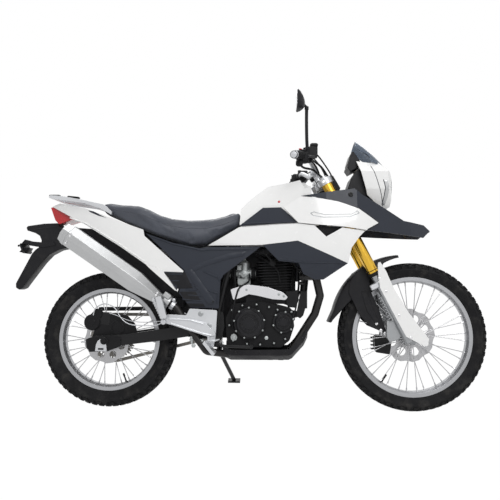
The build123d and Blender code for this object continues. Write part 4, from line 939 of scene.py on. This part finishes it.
pad = bpy.data.objects.new("seat_pad", nodes["seat"].data.copy())
scene.collection.objects.link(pad)
net = pad.modifiers.new("net", "REMESH")
net.mode, net.voxel_size = "VOXEL", VOXEL
eased(pad, 10)
blown_up(pad)
eased(pad, 3)
pad.data.shade_smooth()
pad.data.materials.clear()
pad.data.materials.append(M["seat_cover"])
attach(pad, "frame")
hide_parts("seat")
skins["seat_pad"] = skin_of(pad.data)
seam = Forms()
for side in SIDES:
    welt(seam, "seat_pad", [(-735, 950), (-640, 930), (-560, 912), (-505, 892), (-430, 862), (-340, 848),
                            (-250, 850), (-170, 872), (-112, 898)], 3.0, 1.3, side, 7)
seam.piece("seat_seams", "frame", "seat_cover")

# ---- Panels: the strips, ribs, raised fields and bolts that dress them ----
trim, bolts = Forms(), Forms()
for side in SIDES:
    for route, width, rise in (
            ([(-512, 812), (-400, 774), (-262, 744), (-246, 748), (-30, 752)], 9, 3.0),
            ([(-318, 598), (-272, 560)], 7, 2.6), ([(-340, 566), (-268, 560)], 7, 2.6),
            ([(-352, 520), (-262, 512)], 7, 2.6), ([(-332, 540), (-262, 535)], 7, 2.6),
            ([(-260, 650), (-190, 620), (-180, 600)], 8, 3.0),
            ([(-232, 560), (-192, 548), (-192, 500)], 7, 2.6)):
        welt(trim, "side_panels", route, width, rise, side)
    for outline in ([(-322, 660), (-263, 690), (-136, 734), (-62, 742), (-74, 720), (-136, 707), (-257, 669),
                     (-304, 645)],
                    [(-340, 652), (-310, 660), (-199, 508), (-224, 494), (-240, 503)]):
        patch(trim, "side_panels", outline, 4.5, side)
    bolts.bolt((-212, skin_y("side_panels", -212, 510, side), 510), ACROSS * side, 5, socket=True)
    # The tail's lower patch and its ribs, then the grip recess under the rack.
    patch(trim, "tail_panels", [(-440, 646), (-354, 643), (-379, 560)], 2.2, side)
    for route in ([(-424, 634), (-352, 634)], [(-408, 604), (-366, 604)]):
        welt(trim, "tail_panels", route, 7, 4.5, side)
    patch(trim, "tail_panels", [(-815, 934), (-788, 929), (-738, 904), (-722, 897), (-764, 908), (-806, 926)],
          1.6, side)
    # Lower shroud: a crease and the field under it. Then the knee cover's rib and the beak's bolt.
    welt(trim, "lower_shrouds", [(92, 706), (190, 690), (300, 688), (385, 687)], 7, 2.4, side)
    patch(trim, "lower_shrouds", [(196, 650), (290, 686), (360, 682), (286, 624), (250, 624), (206, 645)],
          1.6, side)
    welt(trim, "knee_covers", [(-82, 870), (20, 872), (84, 872), (160, 874)], 6, 2.0, side)
    bolts.bolt((411, skin_y("beak", 411, 1000, side), 1000), ACROSS * side, 8, socket=True)
trim.piece("panel_trim", "frame", "dark_plastic")
bolts.piece("panel_bolts", "frame", "black_metal")

# White blades under the tail, the tank's red dot, the shrouds' stripe and the vents' mesh.
blades, dot, stripe, mesh = Forms(), Forms(), Forms(), Forms()
blades.slabs([(-522, 675), (-484, 666), (-447, 653), (-378, 556), (-388, 560), (-500, 655)], 143, 151, 2)
dot.turned((88, skin_y("fuel_tank", 88, 971, -1) + 2, 971), RIGHTWARD,
           [(0, 6.5), (2.4, 6), (3.4, 4.5), (3.8, 2)], 24)
mesh.slabs([(244, 860), (374, 852), (300, 797)], 170, 176, 1)
for side in SIDES:
    welt(blades, "tail_panels", [(-905, 900), (-825, 872), (-654, 772), (-530, 690)], 7, 2.2, side)
    welt(stripe, "upper_shrouds", [(228, 912), (240, 901), (285, 893), (404, 896), (447, 914), (437, 924),
                                   (412, 908), (290, 905), (243, 917), (228, 912)], 3.6, 1.2, side, 6)
    for k in range(9):
        x = 252 + k * 14
        mesh.rod((x, side * 177, 857 - k * 0.6), (300 + (x - 300) * 0.1, side * 177, 802), 1.6, 6)
blades.piece("tail_blades", "frame", "white_plastic")
dot.piece("tank_dot", "frame", "lamp_red")
stripe.piece("shroud_stripe", "frame", "fork_grey")
mesh.piece("vent_mesh", "frame", "black_plastic")

# ---- Rack pads, rear mudguard, plate bracket, tail lamp's ribs ----
pads, guard, bracket, lens = Forms(), Forms(), Forms(), Forms()
guard.slab([(-975, 866), (-980, 880), (-1052, 877), (-1132, 865), (-1138, 857), (-1133, 845), (-1092, 833),
            (-1070, 820), (-1060, 798), (-1064, 770), (-1092, 748), (-1108, 728), (-1181, 584), (-1180, 566),
            (-1165, 556), (-1148, 563), (-1056, 688), (-1020, 726), (-975, 750), (-942, 757), (-932, 800),
            (-942, 860)], -34, 34, 3)
guard.slab([(-975, 862), (-975, 800), (-930, 790), (-620, 742), (-592, 760), (-780, 850)], -40, 40, 3)
guard.slabs([(-1120, 770), (-1050, 760), (-990, 772), (-1000, 790), (-1060, 786), (-1112, 790)], 33, 38, 1.5)
bracket.slab([(-1166, 778), (-1148, 800), (-1112, 790), (-1114, 774)], -26, 26, 3)
bracket.slab([(-1172, 739), (-1140, 732), (-1126, 760), (-1150, 763)], -30, 30, 3)
bracket.slab([(-1164, 772), (-1158, 780), (-1140, 740), (-1146, 732)], -48, 48, 1)
rear_tilt = (Vector((1, 0, -0.1)), ACROSS, Vector((0.1, 0, 1)))
for side in SIDES:
    pads.box((-976, side * 97, 1003), (50, 24, 8), 2.5)
    pads.box((-886, side * 97, 996), (56, 24, 8), 2.5, rear_tilt)
    guard.rod((-1110, side * 33, 846), (-990, side * 33, 862), 3, 8)
    bracket.turned((-1168, side * 40, 768), -AHEAD, [(0, 5), (4, 5), (5, 4)], 12)
for k in range(5):
    lens.box((-985 + 14 * k, 0, 918 - 6 * k), (3, 118 - 4 * k, 2.5), 0.6)
pads.piece("rack_pads", "frame", "rubber")
guard.piece("rear_mudguard_dressed", "frame", "black_plastic", replaces=("rear_mudguard",))
bracket.piece("plate_bracket", "frame", "black_plastic")
lens.piece("tail_lamp_ribs", "frame", "lamp_red")

# ---- Muffler: end cap and bolts ----


def muffler_loop(along, lift, high, wide):
    """The muffler's seven corners at a length from its front, about its lifted middle."""
    middle = muffler_front + muffler_way * along
    corners = ((-wide, -0.35), (-wide * 0.55, -1.0), (wide * 0.6, -1.0), (wide, -0.3), (wide * 0.8, 0.66),
               (-wide * 0.35, 0.70), (-wide, 0.12))
    return [middle + ACROSS * y + muffler_up * (lift + part * high) for y, part in corners]


cap, rivets = Forms(), Forms()
loops = []
for along, grow in ((541, 1.0), (542, 1.035), (556, 1.035), (560, 1.0)):
    share = max(0.0, (along - 545) / 31)
    loops.append(muffler_loop(along, 0, (57 - 8 * share) * grow, (46 - 6 * share) * grow))
cap.rings(loops)
cap.turned(muffler_rear - muffler_way * 8, muffler_way, [(0, 17), (9, 17), (9.5, 14), (-3, 13)], 28)
cap.piece("muffler_cap", "frame", "muffler_steel")
for along, out, lift, size in ((528, 46, -4, 3.6), (528, 46, 8.8, 3.6), (60, 34, -4, 3.6), (60, 34, 8.8, 3.6),
                               (528, 38, -29.55, 3.4), (528, 38, -41.75, 3.4)):
    rivets.bolt(muffler_front + muffler_way * along - ACROSS * out + muffler_up * lift, RIGHTWARD, size,
                socket=True)
rivets.piece("muffler_bolts", "frame", "bolt_steel")

# ---- Rear end: disc guard, adjusters, brake hose, switch, cylinder ----
plate, adjust, nut, hose, brass, cylinder = (Forms() for _ in range(6))
plate.slab([(-785, 333), (-772, 380), (-746, 417), (-708, 441), (-661, 450), (-615, 437), (-582, 402),
            (-571, 360), (-584, 338)], -87, -81, 2)
plate.slab([(-812, 398), (-806, 430), (-768, 470), (-740, 468), (-736, 440), (-760, 400)], -92, -74, 4)
plate.slabs([(-792, 336), (-800, 300), (-786, 272), (-700, 276), (-640, 300), (-640, 340), (-700, 352)],
            112, 117, 2)
plate.hoop((-664, -87, 384), RIGHTWARD, [(0, 26), (0, 34), (2.4, 33), (2.4, 27)], 36)
plate.turned((-784, -76, 407), RIGHTWARD, [(0, 38), (16, 38), (20, 34), (20, 16), (23, 14)], 32)
adjust.slabs([(-758, 276), (-755, 306), (-747, 324), (-736, 331), (-724, 331), (-712, 322), (-706, 304),
              (-703, 276)], 117, 121, 1.2)
for side in SIDES:
    adjust.rod((-806, side * 102, 318), (-830, side * 102, 316), 4, 10)
    nut.turned((rear_axle.x, side * 120, rear_axle.z), ACROSS * side,
               [(0, 15), (1, 16), (3, 16), (3, 13), (14, 13), (15, 11)], 6)
    nut.box((-731, side * 121.5, 287), (26, 2, 8), 0.6)
hose.tube([(-778, -96, 440), (-764, -104, 474), (-719, -112, 494), (-672, -116, 476), (-640, -118, 430),
           (-600, -118, 402), (-530, -118, 396), (-468, -118, 401), (-433, -120, 426), (-387, -124, 448),
           (-345, -120, 454), (-322, -112, 440), (-312, -108, 410)], 2.6)
hose.tube([(-700, -104, 452), (-660, -110, 440), (-610, -112, 420), (-560, -112, 412), (-500, -112, 412),
           (-440, -110, 420), (-400, -104, 430)], 1.9)
brass.turned((-309, -138, 352), (0.1, 0, -1), [(0, 7), (10, 7), (11, 10), (20, 10), (21, 6), (36, 6),
                                               (37, 3)], 12)
brass.turned((-288, -140, 344), (0.8, 0, -0.3), [(0, 6), (26, 6), (28, 8), (36, 8), (38, 4)], 12)
brass.turned((-298, -138, 310), RIGHTWARD, [(0, 10), (9, 10), (10, 8)], 6)
cylinder.turned((-318, -112, 372), (0.25, 0, 1), [(0, 10), (8, 12), (52, 12), (56, 9), (60, 14), (78, 14),
                                                  (80, 12)], 20)
cylinder.turned((-300, -112, 440), (0.3, 0, 1), [(0, 11), (26, 11), (28, 13), (36, 13), (37, 10)], 20)
plate.piece("disc_guard", "frame", "engine_black")
adjust.piece("chain_adjusters", "frame", "silver_alloy")
nut.piece("rear_axle_nuts", "frame", "engine_black")
hose.piece("rear_brake_hose", "frame", "silver_alloy")
brass.piece("brake_switch", "frame", "carb_grey")
cylinder.piece("rear_master_cylinder", "frame", "engine_black")

# ---- Pegs, the side panels' vents and the peg hangers' arms ----
peg, tread, vents, arms, hang = (Forms() for _ in range(5))
low, high = Vector((-428, -166, 414)), Vector((-484, -168, 527))
way = (high - low).normalized()
peg_axes = (way, ACROSS, way.cross(ACROSS))
peg.box((low + high) / 2, (124, 26, 15), 3, peg_axes)
for k in range(9):
    peg.box(low.lerp(high, 0.12 + k * 0.095) - ACROSS * 13, (5, 4, 17), 1, peg_axes)
peg.turned((-432, -184, 418), ACROSS, [(0, 10), (2, 12), (40, 12), (42, 10)], 20)
peg.piece("passenger_peg", "frame", "silver_alloy")
arms.slabs([(-446, 428), (-428, 446), (-414, 438), (-311, 434), (-245, 417), (-196, 372), (-194, 358),
            (-222, 351), (-266, 364), (-396, 404), (-428, 412)], 163.5, 171, 2.5)
for side in SIDES:
    for k in range(7):
        tread.box((-196 - 2.2 * k, side * (150 + k * 12), 339), (34, 5, 6), 1)
    for outline in ([(-438, 640), (-340, 642), (-305, 571), (-374, 567)],
                    [(-366, 554), (-292, 555), (-267, 514), (-338, 510)],
                    [(-331, 501), (-256, 501), (-247, 486), (-318, 486)]):
        patch(vents, "side_panels", outline, 2.0, side)
    for route in ([(-410, 431), (-311, 427), (-250, 410)], [(-400, 411), (-266, 371), (-214, 358)]):
        for (x0, z0), (x1, z1) in zip(route, route[1:]):
            arms.rod((x0, side * 170.5, z0), (x1, side * 170.5, z1), 4.5, 10)
for x, z in ((-265, 455), (-226, 402)):
    right, left = (Vector((x, skin_y("peg_hangers", x, z, side), z)) for side in SIDES)
    hang.turned(right, RIGHTWARD, [(0, 12), (2, 12), (3, 10.5), (3, 8)], 24)
    hang.bolt(right - ACROSS, RIGHTWARD, 6, washer=False, socket=True)
    hang.bolt(left, ACROSS, 6, socket=True)
tread.piece("peg_treads", "frame", "silver_alloy")
vents.piece("side_vents", "frame", "black_plastic")
arms.piece("hanger_arms", "frame", "silver_alloy")
hang.piece("hanger_bolts", "frame", "fork_grey")

# ---- Muffler: the faceted body, lower than its solid, so that the dark gap under the tail shows ----
body = Forms()
body.rings([muffler_loop(*row) for row in (
    (0, -6, 24, 24), (58, -6, 33, 33), (62, -5, 34, 34.4), (172, 0, 56, 43.4), (178, 0, 57, 44),
    (541, 0, 57, 46), (545, 0, 57, 46), (576, 0, 49, 40))])
body.piece("muffler_dressed", "frame", "muffler_steel", sharp=20, replaces=("muffler",))

# ---- Black covers, boxes and hoses behind the panels, the pivot's caps, the muffler's clamp ----
inner, clamp = Forms(), Forms()
for rows, low, high, inset in (
        ([(-600, 690), (-520, 668), (-445, 640), (-350, 640), (-290, 590), (-236, 500), (-236, 440),
          (-404, 425), (-432, 480), (-500, 560), (-590, 640)], -67, -63, 1.5),
        ([(-600, 690), (-520, 668), (-445, 640), (-350, 640), (-290, 590), (-236, 500), (-236, 440),
          (-396, 490), (-432, 520), (-500, 580), (-590, 650)], 58, 61, 1),
        ([(-229, 719), (-101, 769), (-24, 778), (140, 770), (172, 700), (172, 560), (150, 500), (-20, 500),
          (-97, 380), (-150, 330), (-233, 330)], 38, 46, 2),
        ([(-66, 480), (-66, 556), (-20, 574), (60, 560), (120, 536), (168, 520), (172, 480), (110, 500),
          (0, 500)], -72, -64, 2),
        ([(-842, 850), (-760, 836), (-620, 800), (-500, 752), (-430, 700), (-430, 640), (-520, 640),
          (-620, 672), (-700, 728), (-780, 782)], -66, -62, 1.5),
        ([(-600, 812), (-545, 846), (-440, 812), (-330, 790), (-330, 740), (-420, 735), (-520, 770)],
         -74, -70, 1.5)):
    inner.slab(rows, low, high, inset)
inner.slabs([(-420, 398), (-300, 404), (-190, 404), (-186, 352), (-240, 336), (-330, 346), (-420, 366)],
            84, 109, 4)
inner.box((-376, -78, 505), (56, 26, 46), 5)
for k in range(6):
    inner.box((-396 + 8 * k, -92, 505), (3, 4, 40), 1)
inner.turned((-330, -74, 530), (0.2, -0.1, 1), [(0, 17), (4, 19), (58, 19), (62, 15), (70, 10)], 24)
inner.box((176, -10, 640), (14, 90, 70), 4)
for k in range(7):
    inner.box((187, -10, 612 + k * 9.5), (10, 86, 2.5), 0.6)
inner.box((20, -88, 742), (54, 24, 24), 4)
for points, radius in (([(-330, -76, 590), (-318, -84, 640), (-280, -70, 700), (-250, -40, 740)], 6),
                       ([(-150, -40, 720), (-170, -60, 640), (-168, -66, 540), (-176, -70, 440)], 5),
                       ([(-120, 0, 720), (-140, -20, 660), (-120, -50, 600), (-134, -60, 500)], 7),
                       ([(170, -30, 700), (150, -74, 716), (60, -84, 730), (-40, -80, 744)], 4),
                       ([(190, -28, 560), (176, -60, 520), (168, -84, 480), (150, -92, 430)], 3.6)):
    inner.tube(points, radius)
inner.piece("inner_covers", "frame", "black_plastic")
clamp.hoop(muffler_front - muffler_way * 8, muffler_way,
           [(0, 25), (0, 31), (2, 33), (30, 36), (32, 34), (32, 25)], 36)
clamp.box(muffler_front + Vector((0, -30, 30)), (34, 18, 26), 3, (muffler_way, ACROSS, muffler_up))
clamp.piece("muffler_front_clamp", "frame", "muffler_steel")

# ---- Front mudguard: crown, side walls that deepen behind the leg, stays ----
MUDGUARD_FRONT, MUDGUARD_SWEEP = 100, 70.5     # degrees round the front axle
MUDGUARD_STEPS = 24


def mudguard_loop(share):
    """The front mudguard's section at a share of its length, outside and then inside."""
    angle = radians(MUDGUARD_FRONT + MUDGUARD_SWEEP * share)
    reach = 391 + 11 * sin(pi * share * 1.1) if share < 0.9 else 393 + 100 * (share - 0.9)
    depth = 14 + 62 * sin(pi * share * 0.98) ** 1.4 * (1.0 if share > 0.2 else 0.55)
    half = 56 - 8 * abs(share - 0.5)
    outer = [(half, depth), (half, 12), (half - 5, 4), (half - 16, 1), (half * 0.4, 0)]
    inner = [(half - 3, depth), (half - 3, 13), (half - 8, 7), (half - 18, 4), (half * 0.4, 3)]
    outline = ([(-y, sunk) for y, sunk in outer] + [(0, -1)] + outer[::-1] +
               inner + [(0, 2)] + [(-y, sunk) for y, sunk in inner[::-1]])
    return [around(front_axle, reach - sunk, angle, y) for y, sunk in outline]


guard = Forms()
guard.rings([mudguard_loop(k / MUDGUARD_STEPS) for k in range(MUDGUARD_STEPS + 1)])
guard.slabs([(446, 646), (420, 600), (416, 556), (468, 449), (520, 396), (560, 380), (592, 366), (560, 470),
             (520, 560), (508, 640), (520, 684), (484, 672)], 58, 62, 1.5)
guard.slabs([(474, 560), (500, 470), (548, 404), (566, 398), (530, 480), (500, 560)], 62, 65, 1.2)
for side in SIDES:
    guard.rod((566, side * 60, 640), (560, side * 76, 636), 7, 14)
guard.piece("front_mudguard_dressed", "steering", "black_plastic", replaces=("front_mudguard",))

# ---- Mirror: a thin pointed head on a rubber-covered stem ----
MIRROR_Y, MIRROR_Z = -336, 1381
HEAD_HALF_WIDE, HEAD_HALF_HIGH = 57, 43


def squared(value):
    """A circle's coordinate moved out, so that the circle becomes a rounded box."""
    return copysign(abs(value) ** 0.6, value)


head = Forms()
loops = []
for x, share, drop in ((157.5, 0.97, 0), (158.5, 1.0, 0), (162, 1.0, -1), (173, 0.86, -4), (184, 0.60, -9),
                       (191, 0.34, -13), (194, 0.08, -16)):
    middle = Vector((x, MIRROR_Y, MIRROR_Z + drop))
    wide, high = HEAD_HALF_WIDE * share, HEAD_HALF_HIGH * share
    loops.append([middle + ACROSS * (wide * squared(cos(angle))) + UP * (high * squared(sin(angle)))
                  for angle in turns(32)])
head.rings(loops)
head.tube([(208, -279, 1180), (205, -284, 1222), (203, -294, 1300), (203, -300, 1356)], 7.2, 14)
head.turned((203, -300, 1352), UP, [(-2, 7.2), (0, 9), (12, 9), (14, 7)], 16)
head.rod((203, -300, 1362), (186, -322, 1370), 6, 12)
head.turned((208, -279, 1166), UP, [(0, 9), (10, 9), (12, 11), (20, 11), (22, 8)], 6)
head.piece("mirror_dressed", "steering", "black_plastic", replaces=("mirror",))

# ---- Controls: throttle case, perches, levers' pivots, switches; the key and its covers ----
controls, stop, neck = Forms(), Forms(), Forms()
for side in SIDES:
    controls.turned(along_grip(112, side), inward(side), [(0, 18), (1, 22), (24, 24), (26, 22)], 28)
    controls.turned(along_grip(146, side) + Vector((46, 0, -14)), UP,
                    [(0, 8), (3, 10), (26, 10), (29, 7)], 18)
    for along, (dx, dz), sizes, ease in ((126, (4, -16), (44, 30, 34), 5), (150, (30, 2), (40, 34, 38), 6),
                                         (166, (10, -24), (30, 26, 22), 4)):
        controls.box(along_grip(along, side) + Vector((dx, 0, dz)), sizes, ease)
    controls.tube(mirrored([(226, 262, 1140), (246, 180, 1150), (286, 100, 1140), (322, 50, 1104)], side), 5)
for centre, sizes, ease in (((232, -262, 1172), (42, 40, 50), 6), ((238, -256, 1204), (34, 36, 16), 4),
                            ((188, -280, 1146), (56, 44, 52), 9), ((172, -296, 1116), (30, 30, 26), 6),
                            ((186, 276, 1140), (66, 40, 44), 8), ((160, 262, 1118), (40, 34, 30), 6)):
    controls.box(centre, sizes, ease)
controls.tube([(176, -292, 1110), (196, -240, 1108), (240, -150, 1118), (278, -80, 1108)], 5)
controls.piece("control_cases", "steering", "engine_black")
stop.box(along_grip(124, -1) + Vector((-12, 0, 26)), (14, 12, 6), 1.5)
stop.piece("stop_switch", "steering", "lamp_red")
for side in SIDES:
    neck.box(on_fork(1082, -24, side * 60), (20, 30, 24), 4, STEERED)
neck.turned(on_fork(1108, -FORK_OFFSET), steer_up, [(0, 14), (4, 16), (18, 16), (20, 12)], 24)
neck.box(on_fork(1100, -12, 0), (34, 60, 22), 5, STEERED)
neck.slabs([(312, 1088), (330, 1110), (344, 1108), (378, 1050), (374, 1036), (352, 1040)], 58, 66, 3)
neck.piece("key_and_covers", "steering", "engine_black")

# ---- Dash, inner fairing, screen, headlight ----
dash, display, fairing, screen = (Forms() for _ in range(4))
dash.slab([(411, 1150), (424, 1190), (434, 1224), (440, 1226), (456, 1206), (478, 1168), (452, 1142),
           (426, 1128)], -62, 62, 3)
dash.piece("dash_dressed", "frame", "black_plastic", replaces=("dash",))
display.box((423, 0, 1190), (5, 96, 52), 1.5, (Vector((1, 0, -0.3)), ACROSS, Vector((0.3, 0, 1))))
display.piece("dash_display", "frame", "black_metal")
fairing.slab([(412, 1046), (430, 1100), (450, 1128), (474, 1150), (500, 1110), (540, 1060), (556, 1000),
              (520, 990), (480, 1016), (440, 1030)], -74, 74, 4)
fairing.piece("inner_fairing", "frame", "black_plastic")

SCREEN_TURN = 0.96 * pi / 2         # how far the screen bends round on each side
SCREEN_COLUMNS, SCREEN_ROWS = 24, 8
SCREEN_BULGE, SCREEN_THICK = 7, 2.6


def screen_column(bend):
    """The screen from its foot to its top at an angle round its bend, outside and then inside."""
    fall = 1 - cos(bend)
    outer = []
    for row in range(SCREEN_ROWS + 1):
        s = row / SCREEN_ROWS
        back, half = 124 * (1 - s) + 18 * s, 93 * (1 - s) + 60 * s
        bulge = SCREEN_BULGE * sin(pi * s)
        x = (1 - s) * (622 - back * fall) + s * (458 - 14 * fall)
        z = (1 - s) * (1118 + back * fall * 0.55) + s * (1286 - 44 * fall)
        outer.append(Vector((x + bulge, half * sin(bend), z + bulge * 0.6)))
    thick = Vector((SCREEN_THICK * cos(bend), SCREEN_THICK * sin(bend), 1.2))
    return outer + [point - thick for point in outer[::-1]]


screen.rings([screen_column((2 * k / SCREEN_COLUMNS - 1) * SCREEN_TURN) for k in range(SCREEN_COLUMNS + 1)])
screen.piece("windscreen_dressed", "frame", "screen_smoke", replaces=("windscreen",))

strips, lamp_trim, bowl, bulb, back_plate = (Forms() for _ in range(5))
for side in SIDES:
    patch(strips, "headlight_mask", [(574, 1078), (592, 1080), (600, 1044), (594, 1000), (582, 962),
                                     (572, 974), (578, 1010), (582, 1044)], 1.6, side, 7)
    welt(lamp_trim, "headlight_mask", [(572, 1082), (582, 1046), (578, 1010), (570, 968)], 3.5, 2.0, side, 6)
    welt(lamp_trim, "headlight_mask", [(516, 1150), (540, 1090), (566, 1010), (574, 962)], 3.0, 1.4, side, 8)
    bowl.hoop((566, side * 26, 1052), AHEAD, [(0, 3), (0, 8), (10, 19.2), (26, 24), (26, 26.5), (8, 20.4),
                                              (-2, 8)], 36)
    bulb.turned((566, side * 26, 1052), AHEAD, [(0, 5), (14, 5), (18, 4), (20, 1.5)], 16)
bowl.turned((570, 0, 1000), AHEAD, [(0, 9), (6, 14), (14, 16), (15, 12), (6, 4)], 28)
back_plate.slab([(552, 1092), (560, 1094), (562, 968), (554, 968)], -58, 58, 2)
strips.piece("lamp_strips", "frame", "muffler_steel")
lamp_trim.piece("lamp_trim", "frame", "dark_plastic")
bowl.piece("headlight_bowls", "frame", "bright_trim")
bulb.piece("headlight_bulbs", "frame", "lens_clear")
back_plate.piece("headlight_backplate", "frame", "black_plastic")

# ---- Tank's filler cap; skid plate and its bolts ----
filler, skid_plate, skid_bolts = Forms(), Forms(), Forms()
SKID_HALF, SKID_FLAT_HALF, SKID_CORNER, SKID_WALL = 104, 72, 24, 4
place = Vector((96, 0, 1058))
filler.turned(place - UP * 4, (0.05, 0, 1), [(0, 41), (4, 41), (6, 38), (6, 32), (9, 31), (10, 26)], 48)
filler.box(place + UP * 7, (30, 10, 5), 1.5)
for spot in circle(place + UP * 2, (AHEAD, ACROSS), 36, 6):
    filler.bolt(spot, UP, 2.6, washer=False, socket=True)
filler.piece("filler_cap", "frame", "silver_alloy")
loops = []
for x, z, slant in ((-168, 262, 0), (-160, 252, 0), (-132, 239, 0), (0, 240, 0), (136, 242, 0.1),
                    (152, 250, 0.5), (206, 310, 0.8), (222, 345, 1)):
    rise = 50 + 12 * slant
    outer = [(x, SKID_HALF, z + rise), (x, SKID_HALF, z + SKID_CORNER), (x, SKID_FLAT_HALF, z)]
    inside = [(x, SKID_FLAT_HALF - 2, z + SKID_WALL), (x, SKID_HALF - SKID_WALL, z + SKID_CORNER + 2),
              (x, SKID_HALF - SKID_WALL, z + rise)]
    loops.append(mirrored(outer, -1) + outer[::-1] + inside[::-1] + mirrored(inside, -1))
skid_plate.rings(loops)
for k in range(5):
    skid_plate.box((-100 + k * 50, 0, 238), (26, 90, 3), 1)
skid_plate.piece("skid_plate_dressed", "frame", "black_plastic", replaces=("skid_plate",))
for side in SIDES:
    for x, z in ((-110, 276), (0, 276), (120, 280), (200, 344)):
        skid_bolts.bolt((x, side * 103.5, z), ACROSS * side, 4.2, socket=True)
skid_bolts.piece("skid_bolts", "frame", "engine_cover")
